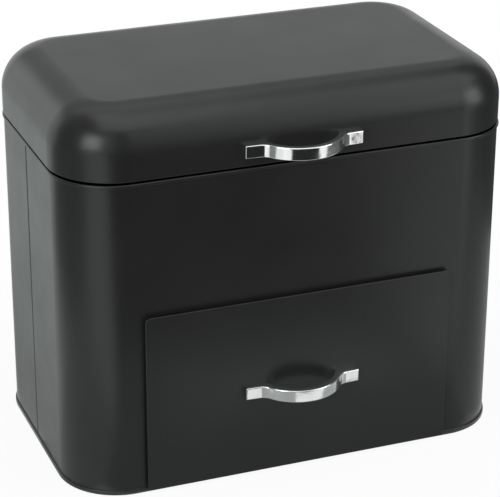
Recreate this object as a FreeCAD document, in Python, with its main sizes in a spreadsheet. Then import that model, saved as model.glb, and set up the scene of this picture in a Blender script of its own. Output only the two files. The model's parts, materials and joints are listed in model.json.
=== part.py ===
import FreeCAD, Part
import math
import os
import re

import Sketcher

# Bread box of powder-coated sheet steel. A deep-drawn lid is hinged at the back over
# a bread compartment, and a drawer slides out at the front under the divider shelf.
#
# Every piece is drawn with z = 0 on the table and y = 0 at mid-depth of the body,
# x across the front and -y towards the user. The Placement of each body then moves
# it so that the origin lies under the middle of the whole box. Millimetres, degrees.

SHEET_NAME = "Sizes"

SIZES = {
    # Body of the box, made of a front and a back sheet that meet at the sides.
    "body_width": 320.0,
    "body_depth": 191.0,
    "body_height": 227.3,
    "body_corner_radius": 42.0,
    "sheet_thickness": 0.8,
    "bead_height": 3.6,
    "bead_projection": 1.0,
    "bead_rounding": 0.7,
    "bead_lip_rounding": 0.45,
    "seam_position": 3.0,
    "seam_flange": 6.0,
    "seam_groove_width": 1.2,
    "seam_groove_depth": 0.5,
    "seat_clearance": 0.1,
    "notch_clearance": 0.6,
    # Lid.
    "lid_gap": 0.8,
    "lid_height": 46.3,
    "lid_corner_radius": 45.0,
    "lid_edge_radius": 29.2,
    "lid_hem_height": 6.0,
    "lid_hem_thickness": 1.8,
    "lid_hem_rounding": 0.7,
    "lid_open_angle": 100.0,
    # Base pan and its feet.
    "pan_recess": 5.5,
    "pan_skirt_height": 5.0,
    "pan_bend_radius": 1.5,
    "foot_standoff": 1.0,
    "foot_diameter": 14.0,
    "foot_chamfer": 1.0,
    "foot_inset_x": 30.0,
    "foot_inset_y": 33.5,
    "foot_plug_diameter": 5.0,
    "foot_button_diameter": 8.0,
    "foot_button_height": 1.6,
    # Divider shelf over the drawer.
    "shelf_above_panel": 3.7,
    "shelf_flange_height": 8.0,
    "shelf_bend_radius": 1.5,
    # Drawer: front panel, the opening behind it, tray, stop ears and guides.
    "panel_side_margin": 49.0,
    "panel_height": 129.7,
    "panel_level": 2.1,
    "panel_side_overlap": 8.0,
    "panel_top_overlap": 6.3,
    "panel_thickness": 0.9,
    "panel_standoff": 3.0,
    "panel_top_radius": 5.0,
    "panel_bottom_radius": 1.5,
    "panel_edge_rounding": 0.25,
    "opening_corner_radius": 1.5,
    "opening_side_clearance": 1.0,
    "opening_sill_clearance": 0.9,
    "opening_head_clearance": 6.1,
    "tray_back_clearance": 9.7,
    "tray_corner_radius": 2.0,
    "tray_bend_radius": 1.2,
    "tray_hem_height": 5.0,
    "tray_hem_thickness": 1.6,
    "stop_ear_width": 14.0,
    "stop_ear_setback": 34.5,
    "stop_ear_clearance": 1.0,
    "stop_ear_rounding": 3.0,
    "slide_clearance": 0.3,
    "side_clearance": 0.5,
    "ledge_width": 14.0,
    "guide_flange_width": 12.0,
    "bumper_diameter": 6.0,
    "bumper_clearance": 0.3,
    "bumper_inset": 14.0,
    # Cast strap handles, one on the lid and one on the drawer.
    "handle_length": 83.0,
    "handle_bow_span": 56.0,
    "handle_reach": 21.8,
    "handle_bow_radius": 32.2,
    "handle_thickness": 4.5,
    "handle_height": 8.8,
    "handle_foot_thickness": 5.5,
    "handle_foot_end_thickness": 4.8,
    "handle_bevel": 0.8,
    "handle_back_rounding": 0.4,
    "lid_handle_level": 12.0,
    "drawer_handle_level": 65.6,
    # Screws and washers of the handles.
    "screw_spacing": 67.0,
    "screw_diameter": 4.0,
    "screw_engagement": 3.4,
    "screw_tip_clearance": 0.3,
    "screw_fit_clearance": 0.05,
    "screw_head_diameter": 7.6,
    "screw_head_height": 2.4,
    "screw_head_chamfer": 0.8,
    "screw_recess_length": 4.0,
    "screw_recess_width": 0.9,
    "screw_recess_depth": 1.3,
    "washer_diameter": 9.0,
    "washer_thickness": 0.8,
    # Lid hinges.
    "hinge_inset": 75.0,
    "hinge_width": 36.0,
    "hinge_sheet": 1.0,
    "hinge_pin_diameter": 2.5,
    "hinge_pin_clearance": 0.06,
    "hinge_pin_head_diameter": 3.8,
    "hinge_pin_head_length": 0.7,
    "knuckle_width": 12.0,
    "knuckle_end_gap": 0.35,
    "knuckle_clearance": 0.35,
    "lid_leaf_rise": 15.5,
    "body_leaf_drop": 21.5,
    "joggle_length": 1.5,
    "joggle_clearance": 0.2,
    "lug_reach": 5.5,
    "lug_root": 1.6,
    "lug_clearance": 0.1,
    "leaf_corner_radius": 3.0,
    "rivet_diameter": 3.0,
    "rivet_clearance": 0.05,
    "rivet_head_diameter": 5.6,
    "rivet_head_height": 1.2,
    "rivet_head_edge": 0.4,
    "rivet_crown_diameter": 3.36,
    "rivet_tail_height": 0.8,
    "rivet_spacing": 22.0,
    "lid_rivet_level": 10.0,
    "body_rivet_level": 14.0,
    # Air holes in the back.
    "vent_diameter": 5.0,
    "vent_pitch": 14.0,
    "vent_columns": 8.0,
    "vent_rows": 2.0,
    "vent_drop": 27.3,
}

NAME_PATTERN = re.compile(r"[a-z_]+")

# Sides of the box, as the sign of x.
LEFT = -1
RIGHT = 1
SIDES = {"left": LEFT, "right": RIGHT}

# Which global direction each local axis of a sketch follows on an origin plane.
PLANE_AXES = {
    "XY_Plane": ("{x}", "{y}", "{z}"),
    "XZ_Plane": ("{x}", "{z}", "-({y})"),
    "YZ_Plane": ("{y}", "{z}", "{x}"),
}

# Derived places and sizes, as expressions on the sheet.
RIM_BOTTOM = "foot_standoff"
RIM_TOP = "(foot_standoff + body_height)"
RIM_MIDDLE = "(foot_standoff + body_height / 2)"
WALL_BETWEEN_BEADS = "(body_height - 2 * bead_height)"
FRONT_WALL = "(-body_depth / 2)"
BACK_WALL = "(body_depth / 2)"
SEAT_INSET = "(sheet_thickness + seat_clearance)"

LID_BOTTOM = f"({RIM_TOP} + lid_gap)"
LID_TOP = f"({LID_BOTTOM} + lid_height)"
LID_FRONT = "(-body_depth / 2 - bead_projection)"
LID_FRONT_INSIDE = f"({LID_FRONT} + sheet_thickness)"
LID_BACK = "(body_depth / 2 + bead_projection)"

PAN_UNDERSIDE = f"({RIM_BOTTOM} + pan_recess)"
PAN_TOP = f"({PAN_UNDERSIDE} + sheet_thickness)"

PANEL_BACK = f"({FRONT_WALL} - panel_standoff)"
PANEL_FRONT = f"({PANEL_BACK} - panel_thickness)"
PANEL_BOTTOM = f"({RIM_BOTTOM} + panel_level)"
PANEL_TOP = f"({PANEL_BOTTOM} + panel_height)"
SHELF_TOP = f"({PANEL_TOP} + shelf_above_panel)"
SHELF_UNDERSIDE = f"({SHELF_TOP} - sheet_thickness)"
PANEL_HALF_WIDTH = "(body_width / 2 - panel_side_margin)"
OPENING_HALF_WIDTH = f"({PANEL_HALF_WIDTH} - panel_side_overlap)"
OPENING_TOP = f"({PANEL_TOP} - panel_top_overlap)"
TRAY_HALF_WIDTH = f"({OPENING_HALF_WIDTH} - opening_side_clearance)"
TRAY_BOTTOM = f"({PAN_TOP} + sheet_thickness + slide_clearance)"
TRAY_TOP = f"({OPENING_TOP} - opening_head_clearance)"
TRAY_HEIGHT = f"({TRAY_TOP} - {TRAY_BOTTOM})"
TRAY_FRONT_INSIDE = f"({PANEL_BACK} + sheet_thickness)"
TRAY_BACK = f"({BACK_WALL} - sheet_thickness - tray_back_clearance)"
OPENING_BOTTOM = f"({TRAY_BOTTOM} - opening_sill_clearance)"
GUIDE_INSIDE = f"({TRAY_HALF_WIDTH} + side_clearance)"
GUIDE_OUTSIDE = f"({GUIDE_INSIDE} + sheet_thickness)"
GUIDE_FRONT = f"({FRONT_WALL} + {SEAT_INSET} + sheet_thickness + seat_clearance)"
# Pulled out, the ears of the tray meet the shelf's flange behind the front wall.
STOP_EAR_BACK = f"({TRAY_BACK} - stop_ear_setback)"
STOP_EAR_FRONT = f"({STOP_EAR_BACK} - stop_ear_width)"
STOP_EAR_TOP = f"({SHELF_UNDERSIDE} - stop_ear_clearance)"

KNUCKLE_RADIUS = "(hinge_pin_diameter / 2 + hinge_pin_clearance + hinge_sheet)"
PIN_STANDOFF = f"({KNUCKLE_RADIUS} + knuckle_clearance)"
PIN_Y = f"({LID_BACK} + {PIN_STANDOFF})"
PIN_Z = f"({RIM_TOP} + lid_gap / 2)"
OPEN_ANGLE = "(lid_open_angle * 1 deg)"
# The stop lug of the open lid lies flat against the leaf on the body.
LUG_FACE = f"(-{PIN_STANDOFF} + hinge_sheet + lug_clearance)"

LID_HANDLE_Z = f"({LID_BOTTOM} + lid_handle_level)"
DRAWER_HANDLE_Z = f"({RIM_BOTTOM} + drawer_handle_level)"

# The drawer handle reaches furthest forward and the closed hinge's lug furthest back.
FRONT_REACH = f"(-{PANEL_FRONT} + handle_reach)"
LUG_TIP = f"({LUG_FACE} * cos({OPEN_ANGLE}) + lug_reach * sin({OPEN_ANGLE}))"
FRAME_SHIFT = f"(({FRONT_REACH} - {PIN_Y} - {LUG_TIP}) / 2)"


def fill_sheet(document):
    """Write every driving size into the spreadsheet, one aliased cell each."""
    sheet = document.addObject("Spreadsheet::Sheet", SHEET_NAME)
    for row, (name, size) in enumerate(SIZES.items(), start=1):
        sheet.set(f"A{row}", name)
        sheet.set(f"B{row}", str(size))
        sheet.setAlias(f"B{row}", name)
    document.recompute()
    return sheet


doc = FreeCAD.newDocument("BreadBox")
sizes = fill_sheet(doc)
pieces = []


def on_sheet(expression):
    """Point each size name in an expression at its cell."""

    def cell(match):
        word = match.group()
        return f"{SHEET_NAME}.{word}" if word in SIZES else word

    return NAME_PATTERN.sub(cell, str(expression))


def value(expression):
    """Work out an expression with the sizes now on the sheet."""
    result = sizes.evalExpression(on_sheet(expression))
    return float(getattr(result, "Value", result))


def new_piece(label):
    """Start one separate piece of the box, placed in the frame of the whole."""
    body = doc.addObject("PartDesign::Body", label)
    body.Label = label
    body.AllowCompound = True
    body.setExpression("Placement.Base.y", on_sheet(FRAME_SHIFT))
    pieces.append(body)
    return body


def origin_feature(body, role):
    """Find one of a body's own origin planes or axes."""
    return next(item for item in body.Origin.OriginFeatures if item.Role == role)


def new_sketch(body, plane, x="0", y="0", z="0"):
    """Start a sketch parallel to an origin plane, with its origin at a point."""
    sketch = body.newObject("Sketcher::SketchObject", f"{body.Label}_sketch")
    sketch.AttachmentSupport = [(origin_feature(body, plane), "")]
    sketch.MapMode = "FlatFace"
    for local_axis, pattern in zip("xyz", PLANE_AXES[plane]):
        place = pattern.format(x=x, y=y, z=z)
        sketch.setExpression(f"AttachmentOffset.Base.{local_axis}", on_sheet(place))
    return sketch


def bind(sketch, kind, references, expression):
    """Add one dimension to a sketch and tie it to the sheet."""
    index = sketch.addConstraint(Sketcher.Constraint(kind, *references, value(expression)))
    sketch.setExpression(f"Constraints[{index}]", on_sheet(expression))


def bind_point(sketch, geometry, point, x, y):
    """Hold one point of a sketch at a place given from the sketch's origin."""
    bind(sketch, "DistanceX", (-1, 1, geometry, point), x)
    bind(sketch, "DistanceY", (-1, 1, geometry, point), y)


def draw_polygon(sketch, corners):
    """Draw a closed outline of straight lines through corners given as expressions."""
    first = sketch.GeometryCount
    count = len(corners)
    points = [FreeCAD.Vector(value(x), value(y), 0) for x, y in corners]
    for index in range(count):
        line = Part.LineSegment(points[index], points[(index + 1) % count])
        sketch.addGeometry(line, False)
    for index in range(count):
        following = first + (index + 1) % count
        sketch.addConstraint(Sketcher.Constraint("Coincident", first + index, 2, following, 1))
    for index, (x, y) in enumerate(corners):
        bind_point(sketch, first + index, 1, x, y)


def draw_rectangle(sketch, x_low, x_high, y_low, y_high):
    """Draw a plain rectangle between two corners."""
    draw_polygon(sketch, [(x_low, y_low), (x_high, y_low), (x_high, y_high), (x_low, y_high)])


def draw_circle(sketch, x, y, radius):
    """Draw a circle about a point."""
    centre = FreeCAD.Vector(value(x), value(y), 0)
    circle = Part.Circle(centre, FreeCAD.Vector(0, 0, 1), value(radius))
    index = sketch.addGeometry(circle, False)
    bind_point(sketch, index, 3, x, y)
    bind(sketch, "Radius", (index,), radius)


def draw_rounded_rectangle(sketch, x_low, x_high, y_low, y_high, radius):
    """Draw a rectangle whose four corners are equal tangent arcs."""
    first = sketch.GeometryCount
    left, right, low, high, bend = (value(item) for item in (x_low, x_high, y_low, y_high, radius))
    sides = [
        ((left + bend, low), (right - bend, low)),
        ((right, low + bend), (right, high - bend)),
        ((right - bend, high), (left + bend, high)),
        ((left, high - bend), (left, low + bend)),
    ]
    for start, end in sides:
        line = Part.LineSegment(FreeCAD.Vector(*start, 0), FreeCAD.Vector(*end, 0))
        sketch.addGeometry(line, False)
    centres = [
        (right - bend, low + bend),
        (right - bend, high - bend),
        (left + bend, high - bend),
        (left + bend, low + bend),
    ]
    for quarter, centre in enumerate(centres, start=-1):
        circle = Part.Circle(FreeCAD.Vector(*centre, 0), FreeCAD.Vector(0, 0, 1), bend)
        arc = Part.ArcOfCircle(circle, quarter * math.pi / 2, (quarter + 1) * math.pi / 2)
        sketch.addGeometry(arc, False)
    for side in range(4):
        line = first + side
        arc = first + 4 + side
        next_line = first + (side + 1) % 4
        sketch.addConstraint(Sketcher.Constraint("Tangent", line, 2, arc, 1))
        sketch.addConstraint(Sketcher.Constraint("Tangent", arc, 2, next_line, 1))
        sketch.addConstraint(Sketcher.Constraint("Vertical" if side % 2 else "Horizontal", line))
    for arc in range(first + 5, first + 8):
        sketch.addConstraint(Sketcher.Constraint("Equal", first + 4, arc))
    bind(sketch, "Radius", (first + 4,), radius)
    bind(sketch, "DistanceY", (-1, 1, first, 1), y_low)
    bind(sketch, "DistanceX", (-1, 1, first + 1, 1), x_high)
    bind(sketch, "DistanceY", (-1, 1, first + 2, 1), y_high)
    bind(sketch, "DistanceX", (-1, 1, first + 3, 1), x_low)


def draw_body_outline(sketch, inset):
    """Draw the plan of the body, moved in from the outer face of its wall."""
    half_width = f"(body_width / 2 - {inset})"
    half_depth = f"(body_depth / 2 - {inset})"
    radius = f"(body_corner_radius - {inset})"
    draw_rounded_rectangle(
        sketch, f"-{half_width}", half_width, f"-{half_depth}", half_depth, radius
    )


def draw_lid_outline(sketch, inset):
    """Draw the plan of the lid, flush with the body's bead, moved in by a distance."""
    half_width = f"(body_width / 2 + bead_projection - {inset})"
    half_depth = f"(body_depth / 2 + bead_projection - {inset})"
    radius = f"(lid_corner_radius - {inset})"
    draw_rounded_rectangle(
        sketch, f"-{half_width}", half_width, f"-{half_depth}", half_depth, radius
    )


def add_pad(body, sketch, length):
    """Extrude a sketch along its normal."""
    pad = body.newObject("PartDesign::Pad", f"{body.Label}_pad")
    pad.Profile = sketch
    pad.setExpression("Length", on_sheet(length))
    doc.recompute()
    return pad


def add_middle_pad(body, sketch, length):
    """Extrude a sketch equally to both sides of its plane."""
    pad = add_pad(body, sketch, length)
    pad.SideType = "Symmetric"
    doc.recompute()
    return pad


def cut_middle(body, sketch, length):
    """Cut a sketch out equally to both sides of its plane."""
    volume_before = body.Shape.Volume
    pocket = body.newObject("PartDesign::Pocket", f"{body.Label}_cut")
    pocket.Profile = sketch
    pocket.SideType = "Symmetric"
    pocket.setExpression("Length", on_sheet(length))
    doc.recompute()
    if body.Shape.Volume >= volume_before:
        raise RuntimeError(f"{pocket.Label} removes nothing")
    return pocket


def turn_round_axis(body, sketch, axis):
    """Turn a half profile once round an axis of its sketch."""
    turned = body.newObject("PartDesign::Revolution", f"{body.Label}_turned")
    turned.Profile = sketch
    turned.ReferenceAxis = (sketch, [axis])
    turned.Angle = 360.0
    doc.recompute()
    return turned


def edges_where(feature, test):
    """Name the edges of a feature that pass a test."""
    return [
        f"Edge{index}"
        for index, edge in enumerate(feature.Shape.Edges, start=1)
        if test(edge)
    ]


def dress_edges(body, kind, size_property, test, size):
    """Round or bevel the edges of a body that pass a test."""
    base = body.Tip
    names = edges_where(base, test)
    if not names:
        raise RuntimeError(f"{body.Label} has no edges for a {kind}")
    dressing = body.newObject(f"PartDesign::{kind}", f"{body.Label}_{kind.lower()}")
    dressing.Base = (base, names)
    dressing.setExpression(size_property, on_sheet(size))
    doc.recompute()
    return dressing


def round_edges(body, test, radius):
    """Fillet the edges of a body that pass a test."""
    return dress_edges(body, "Fillet", "Radius", test, radius)


def bevel_edges(body, test, size):
    """Chamfer the edges of a body that pass a test."""
    return dress_edges(body, "Chamfer", "Size", test, size)


TOLERANCE = 1e-4


def near(first, second):
    """Tell whether two lengths are the same."""
    return abs(first - second) < TOLERANCE


def edge_samples(edge):
    """Give points at the ends, quarters and middle of an edge."""
    low, high = edge.ParameterRange
    return [edge.valueAt(low + (high - low) * step / 4) for step in range(5)]


def level_edge(height):
    """Make a test for edges that lie wholly at one height."""
    level = value(height)
    return lambda edge: all(near(point.z, level) for point in edge_samples(edge))


def outside_level_edge(height, inset):
    """Make a test for edges at one height that lie outside the body's inset outline."""
    level = value(height)
    half_width = value(f"body_width / 2 - {inset}")
    half_depth = value(f"body_depth / 2 - {inset}")
    radius = value(f"body_corner_radius - {inset}")

    def outside(point):
        along_x = abs(point.x) - (half_width - radius)
        along_y = abs(point.y) - (half_depth - radius)
        reach = math.hypot(max(along_x, 0), max(along_y, 0))
        return reach > radius + TOLERANCE

    return lambda edge: all(
        near(point.z, level) and outside(point) for point in edge_samples(edge)
    )


def parallel_edge(direction):
    """Make a test for straight edges along one direction."""
    return lambda edge: (
        edge.Curve.TypeId == "Part::GeomLine"
        and abs(edge.tangentAt(edge.FirstParameter).dot(direction)) > 1 - TOLERANCE
    )


ALONG_X = FreeCAD.Vector(1, 0, 0)
ALONG_Y = FreeCAD.Vector(0, 1, 0)


def mirrored_places(distance):
    """Give the two places at a distance either side of the middle."""
    return [f"({sign} * {distance})" for sign in (LEFT, RIGHT)]


def drill_along_y(body, places, wall, diameter, depth):
    """Drill round holes along y, centred on a wall, at places given as (x, z)."""
    sketch = new_sketch(body, "XZ_Plane", y=wall)
    for x, z in places:
        draw_circle(sketch, x, z, f"({diameter} / 2)")
    return cut_middle(body, sketch, depth)


# Body shells -------------------------------------------------------------------------


def make_wall_ring(body):
    """Make the closed wall of the body with its rolled beads at top and bottom."""
    wall = new_sketch(body, "XY_Plane", z=RIM_BOTTOM)
    draw_body_outline(wall, "0")
    draw_body_outline(wall, "sheet_thickness")
    add_pad(body, wall, "body_height")
    for level in (RIM_BOTTOM, f"({RIM_TOP} - bead_height)"):
        bead = new_sketch(body, "XY_Plane", z=level)
        draw_body_outline(bead, "-bead_projection")
        draw_body_outline(bead, "sheet_thickness")
        add_pad(body, bead, "bead_height")
    for level in (RIM_BOTTOM, RIM_TOP):
        round_edges(body, level_edge(level), "bead_rounding")
    for level in (f"({RIM_BOTTOM} + bead_height)", f"({RIM_TOP} - bead_height)"):
        lip = outside_level_edge(level, "-bead_projection / 2")
        round_edges(body, lip, "bead_lip_rounding")


def make_half_shell(label, kept_side):
    """Make the half of the body in front (-1) or behind (1) the side seams."""
    body = new_piece(label)
    make_wall_ring(body)
    other_half = new_sketch(body, "XY_Plane", z=RIM_MIDDLE)
    seam_y = ("seam_position", f"({-kept_side} * body_depth)")
    low, high = sorted(seam_y, key=value)
    draw_rectangle(other_half, "-body_width", "body_width", low, high)
    cut_middle(body, other_half, "(2 * body_height)")

    flanges = new_sketch(body, "XY_Plane", z=RIM_MIDDLE)
    grooves = new_sketch(body, "XY_Plane", z=RIM_MIDDLE)
    flange_y = f"(seam_position + {kept_side} * sheet_thickness)"
    groove_y = f"(seam_position + {kept_side} * seam_groove_width / 2)"
    for side in SIDES.values():
        inside = f"({side} * (body_width / 2 - sheet_thickness - seam_flange))"
        in_wall = f"({side} * (body_width / 2 - sheet_thickness / 2))"
        draw_rectangle(flanges, inside, in_wall, "seam_position", flange_y)
        groove_bottom = f"({side} * (body_width / 2 - seam_groove_depth))"
        surface = f"({side} * body_width / 2)"
        beyond = f"({side} * (body_width / 2 + bead_projection))"
        draw_polygon(
            grooves,
            [
                (groove_bottom, "seam_position"),
                (surface, groove_y),
                (beyond, groove_y),
                (beyond, "seam_position"),
            ],
        )
    add_middle_pad(body, flanges, WALL_BETWEEN_BEADS)
    cut_middle(body, grooves, WALL_BETWEEN_BEADS)
    return body


def make_body_front_shell():
    """Make the front half of the body, with the opening for the drawer."""
    body = make_half_shell("body_front_shell", kept_side=-1)
    opening = new_sketch(body, "XZ_Plane", y=FRONT_WALL)
    draw_rounded_rectangle(
        opening,
        f"-{OPENING_HALF_WIDTH}",
        OPENING_HALF_WIDTH,
        OPENING_BOTTOM,
        OPENING_TOP,
        "opening_corner_radius",
    )
    cut_middle(body, opening, "(4 * sheet_thickness)")


def make_body_back_shell():
    """Make the back half of the body, with air holes and the hinges' rivet holes."""
    body = make_half_shell("body_back_shell", kept_side=1)
    vents = [
        (
            f"(({column} - (vent_columns - 1) / 2) * vent_pitch)",
            f"({RIM_TOP} - vent_drop - {row} * vent_pitch)",
        )
        for row in range(round(value("vent_rows")))
        for column in range(round(value("vent_columns")))
    ]
    drill_along_y(body, vents, BACK_WALL, "vent_diameter", "(4 * sheet_thickness)")
    drill_along_y(
        body, hinge_rivet_places(BODY_RIVET_Z), BACK_WALL, RIVET_HOLE, "(4 * sheet_thickness)"
    )


def cut_seam_notches(body, middle, height):
    """Notch a level panel round the flanges of the two side seams."""
    notches = new_sketch(body, "XY_Plane", z=middle)
    for side in SIDES.values():
        inside = f"({side} * (body_width / 2 - sheet_thickness - seam_flange - notch_clearance))"
        outside = f"({side} * body_width / 2)"
        reach = "(sheet_thickness + notch_clearance)"
        draw_rectangle(
            notches, inside, outside, f"(seam_position - {reach})", f"(seam_position + {reach})"
        )
    cut_middle(body, notches, height)


def make_flanged_panel(label, underside, flange_height, bend_radius):
    """Make a level panel that fills the body, with a flange turned down all round."""
    body = new_piece(label)
    top = f"({underside} + sheet_thickness)"
    panel = new_sketch(body, "XY_Plane", z=underside)
    draw_body_outline(panel, SEAT_INSET)
    add_pad(body, panel, "sheet_thickness")
    flange = new_sketch(body, "XY_Plane", z=f"({top} - {flange_height})")
    draw_body_outline(flange, SEAT_INSET)
    draw_body_outline(flange, f"({SEAT_INSET} + sheet_thickness)")
    add_pad(body, flange, flange_height)
    round_edges(body, level_edge(top), bend_radius)
    cut_seam_notches(body, top, f"(3 * {flange_height})")
    return body


def make_base_pan():
    """Make the recessed bottom panel, with holes for the plugs of the feet."""
    body = make_flanged_panel("base_pan", PAN_UNDERSIDE, "pan_skirt_height", "pan_bend_radius")
    holes = new_sketch(body, "XY_Plane", z=PAN_UNDERSIDE)
    for x, y in foot_places():
        draw_circle(holes, x, y, "(foot_plug_diameter / 2 + screw_fit_clearance)")
    cut_middle(body, holes, "(4 * sheet_thickness)")


def make_divider_shelf():
    """Make the floor of the bread compartment, over the drawer."""
    make_flanged_panel("divider_shelf", SHELF_UNDERSIDE, "shelf_flange_height", "shelf_bend_radius")


def foot_places():
    """Give the four places of the feet under the base pan."""
    across = mirrored_places("(body_width / 2 - foot_inset_x)")
    along = mirrored_places("(body_depth / 2 - foot_inset_y)")
    return [(x, y) for x in across for y in along]


def make_rubber_feet():
    """Make four push-in feet, each a tapered pad, a plug and a button above the pan."""
    body = new_piece("rubber_feet")
    neck = "(foot_plug_diameter / 2)"
    button = "(foot_button_diameter / 2)"
    pad = "(foot_diameter / 2)"
    for x, y in foot_places():
        profile = new_sketch(body, "XZ_Plane", x=x, y=y)
        draw_polygon(
            profile,
            [
                ("0", "0"),
                (f"({pad} - foot_chamfer)", "0"),
                (pad, "foot_chamfer"),
                (pad, PAN_UNDERSIDE),
                (neck, PAN_UNDERSIDE),
                (neck, PAN_TOP),
                (button, PAN_TOP),
                (neck, f"({PAN_TOP} + foot_button_height)"),
                ("0", f"({PAN_TOP} + foot_button_height)"),
            ],
        )
        turn_round_axis(body, profile, "V_Axis")


# Drawer --------------------------------------------------------------------------------


def make_drawer_guide(side_name, side):
    """Make one guide: a web beside the tray, a ledge under it and a flange on the shelf."""
    body = new_piece(f"drawer_guide_{side_name}")
    section = new_sketch(body, "XZ_Plane")
    inside = f"({side} * {GUIDE_INSIDE})"
    outside = f"({side} * {GUIDE_OUTSIDE})"
    ledge_end = f"({side} * ({GUIDE_INSIDE} - ledge_width))"
    flange_end = f"({side} * ({GUIDE_OUTSIDE} + guide_flange_width))"
    ledge_top = f"({PAN_TOP} + sheet_thickness)"
    flange_bottom = f"({SHELF_UNDERSIDE} - sheet_thickness)"
    draw_polygon(
        section,
        [
            (ledge_end, PAN_TOP),
            (outside, PAN_TOP),
            (outside, flange_bottom),
            (flange_end, flange_bottom),
            (flange_end, SHELF_UNDERSIDE),
            (inside, SHELF_UNDERSIDE),
            (inside, ledge_top),
            (ledge_end, ledge_top),
        ],
    )
    add_middle_pad(body, section, f"(-2 * {GUIDE_FRONT})")


def make_drawer_tray():
    """Make the open tray of the drawer, with a hemmed rim and two stop ears."""
    body = new_piece("drawer_tray")

    def plan(sketch, inset):
        draw_rounded_rectangle(
            sketch,
            f"(-{TRAY_HALF_WIDTH} + {inset})",
            f"({TRAY_HALF_WIDTH} - {inset})",
            f"({PANEL_BACK} + {inset})",
            f"({TRAY_BACK} - {inset})",
            f"(tray_corner_radius - {inset} / 2)",
        )

    floor = new_sketch(body, "XY_Plane", z=TRAY_BOTTOM)
    plan(floor, "0")
    add_pad(body, floor, "sheet_thickness")
    wall = new_sketch(body, "XY_Plane", z=TRAY_BOTTOM)
    plan(wall, "0")
    plan(wall, "sheet_thickness")
    add_pad(body, wall, TRAY_HEIGHT)
    hem = new_sketch(body, "XY_Plane", z=f"({TRAY_TOP} - tray_hem_height)")
    plan(hem, "0")
    plan(hem, "tray_hem_thickness")
    add_pad(body, hem, "tray_hem_height")
    round_edges(body, level_edge(TRAY_BOTTOM), "tray_bend_radius")

    ear_bottom = f"({TRAY_TOP} - tray_hem_height)"
    ears = new_sketch(body, "YZ_Plane")
    draw_rectangle(ears, STOP_EAR_FRONT, STOP_EAR_BACK, ear_bottom, STOP_EAR_TOP)
    add_middle_pad(body, ears, f"(2 * {TRAY_HALF_WIDTH})")
    for inset, low, high in (
        ("sheet_thickness", TRAY_TOP, f"(2 * {STOP_EAR_TOP})"),
        ("tray_hem_thickness", ear_bottom, TRAY_TOP),
    ):
        between_ears = new_sketch(body, "XZ_Plane", y=STOP_EAR_BACK)
        inner_half = f"({TRAY_HALF_WIDTH} - {inset})"
        draw_rectangle(between_ears, f"-{inner_half}", inner_half, low, high)
        cut_middle(body, between_ears, "(2 * stop_ear_width)")
    round_edges(body, stop_ear_corner, "stop_ear_rounding")
    drill_along_y(
        body, screw_places(DRAWER_HANDLE_Z), PANEL_BACK, SCREW_HOLE, "(4 * sheet_thickness)"
    )


def stop_ear_corner(edge):
    """Tell whether an edge is an upper corner of a stop ear."""
    level = value(STOP_EAR_TOP)
    return parallel_edge(ALONG_X)(edge) and all(near(p.z, level) for p in edge_samples(edge))


def make_drawer_front_panel():
    """Make the flat overlay front of the drawer."""
    body = new_piece("drawer_front_panel")
    middle = f"(({PANEL_BACK} + {PANEL_FRONT}) / 2)"
    face = new_sketch(body, "XZ_Plane", y=middle)
    draw_rectangle(face, f"-{PANEL_HALF_WIDTH}", PANEL_HALF_WIDTH, PANEL_BOTTOM, PANEL_TOP)
    add_middle_pad(body, face, "panel_thickness")
    along_y = parallel_edge(ALONG_Y)
    middle_height = value(f"({PANEL_BOTTOM} + {PANEL_TOP}) / 2")
    round_edges(
        body, lambda edge: along_y(edge) and edge.CenterOfMass.z > middle_height, "panel_top_radius"
    )
    round_edges(
        body, lambda edge: along_y(edge) and edge.CenterOfMass.z < middle_height, "panel_bottom_radius"
    )
    front = value(PANEL_FRONT)
    round_edges(
        body, lambda edge: all(near(p.y, front) for p in edge_samples(edge)), "panel_edge_rounding"
    )
    drill_along_y(
        body, screw_places(DRAWER_HANDLE_Z), PANEL_BACK, SCREW_HOLE, "(4 * panel_thickness)"
    )


def make_drawer_bumpers():
    """Make the four soft pads behind the panel that land on the body round the opening."""
    body = new_piece("drawer_bumpers")
    pads = new_sketch(body, "XZ_Plane", y=f"({FRONT_WALL} - bumper_clearance)")
    for x in mirrored_places(f"({PANEL_HALF_WIDTH} - panel_side_overlap / 2)"):
        for z in (f"({PANEL_BOTTOM} + bumper_inset)", f"({PANEL_TOP} - bumper_inset)"):
            draw_circle(pads, x, z, "(bumper_diameter / 2)")
    add_pad(body, pads, "(panel_standoff - bumper_clearance)")


# Lid -----------------------------------------------------------------------------------


def make_lid_shell():
    """Make the deep-drawn lid with its rolled-in hem and its holes."""
    body = new_piece("lid_shell")
    block = new_sketch(body, "XY_Plane", z=LID_BOTTOM)
    draw_lid_outline(block, "0")
    add_pad(body, block, "lid_height")
    round_edges(body, level_edge(LID_TOP), "lid_edge_radius")
    hollow_from_below(body, value(LID_BOTTOM))
    hem = new_sketch(body, "XY_Plane", z=LID_BOTTOM)
    draw_lid_outline(hem, "0")
    draw_lid_outline(hem, "lid_hem_thickness")
    add_pad(body, hem, "lid_hem_height")
    round_edges(body, level_edge(LID_BOTTOM), "lid_hem_rounding")
    depth = "(4 * sheet_thickness)"
    drill_along_y(body, screw_places(LID_HANDLE_Z), LID_FRONT, SCREW_HOLE, depth)
    drill_along_y(body, hinge_rivet_places(LID_RIVET_Z), LID_BACK, RIVET_HOLE, depth)


def hollow_from_below(body, level):
    """Turn a closed solid into a sheet shell that is open at its flat underside."""
    solid = body.Tip
    openings = [
        f"Face{index}"
        for index, face in enumerate(solid.Shape.Faces, start=1)
        if near(face.BoundBox.ZMax, level)
    ]
    shell = body.newObject("PartDesign::Thickness", f"{body.Label}_hollow")
    shell.Base = (solid, openings)
    shell.setExpression("Value", on_sheet("sheet_thickness"))
    shell.Reversed = True
    doc.recompute()


# Handles and their screws ------------------------------------------------------------------

SCREW_HOLE = "(screw_diameter + 2 * screw_fit_clearance)"


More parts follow.
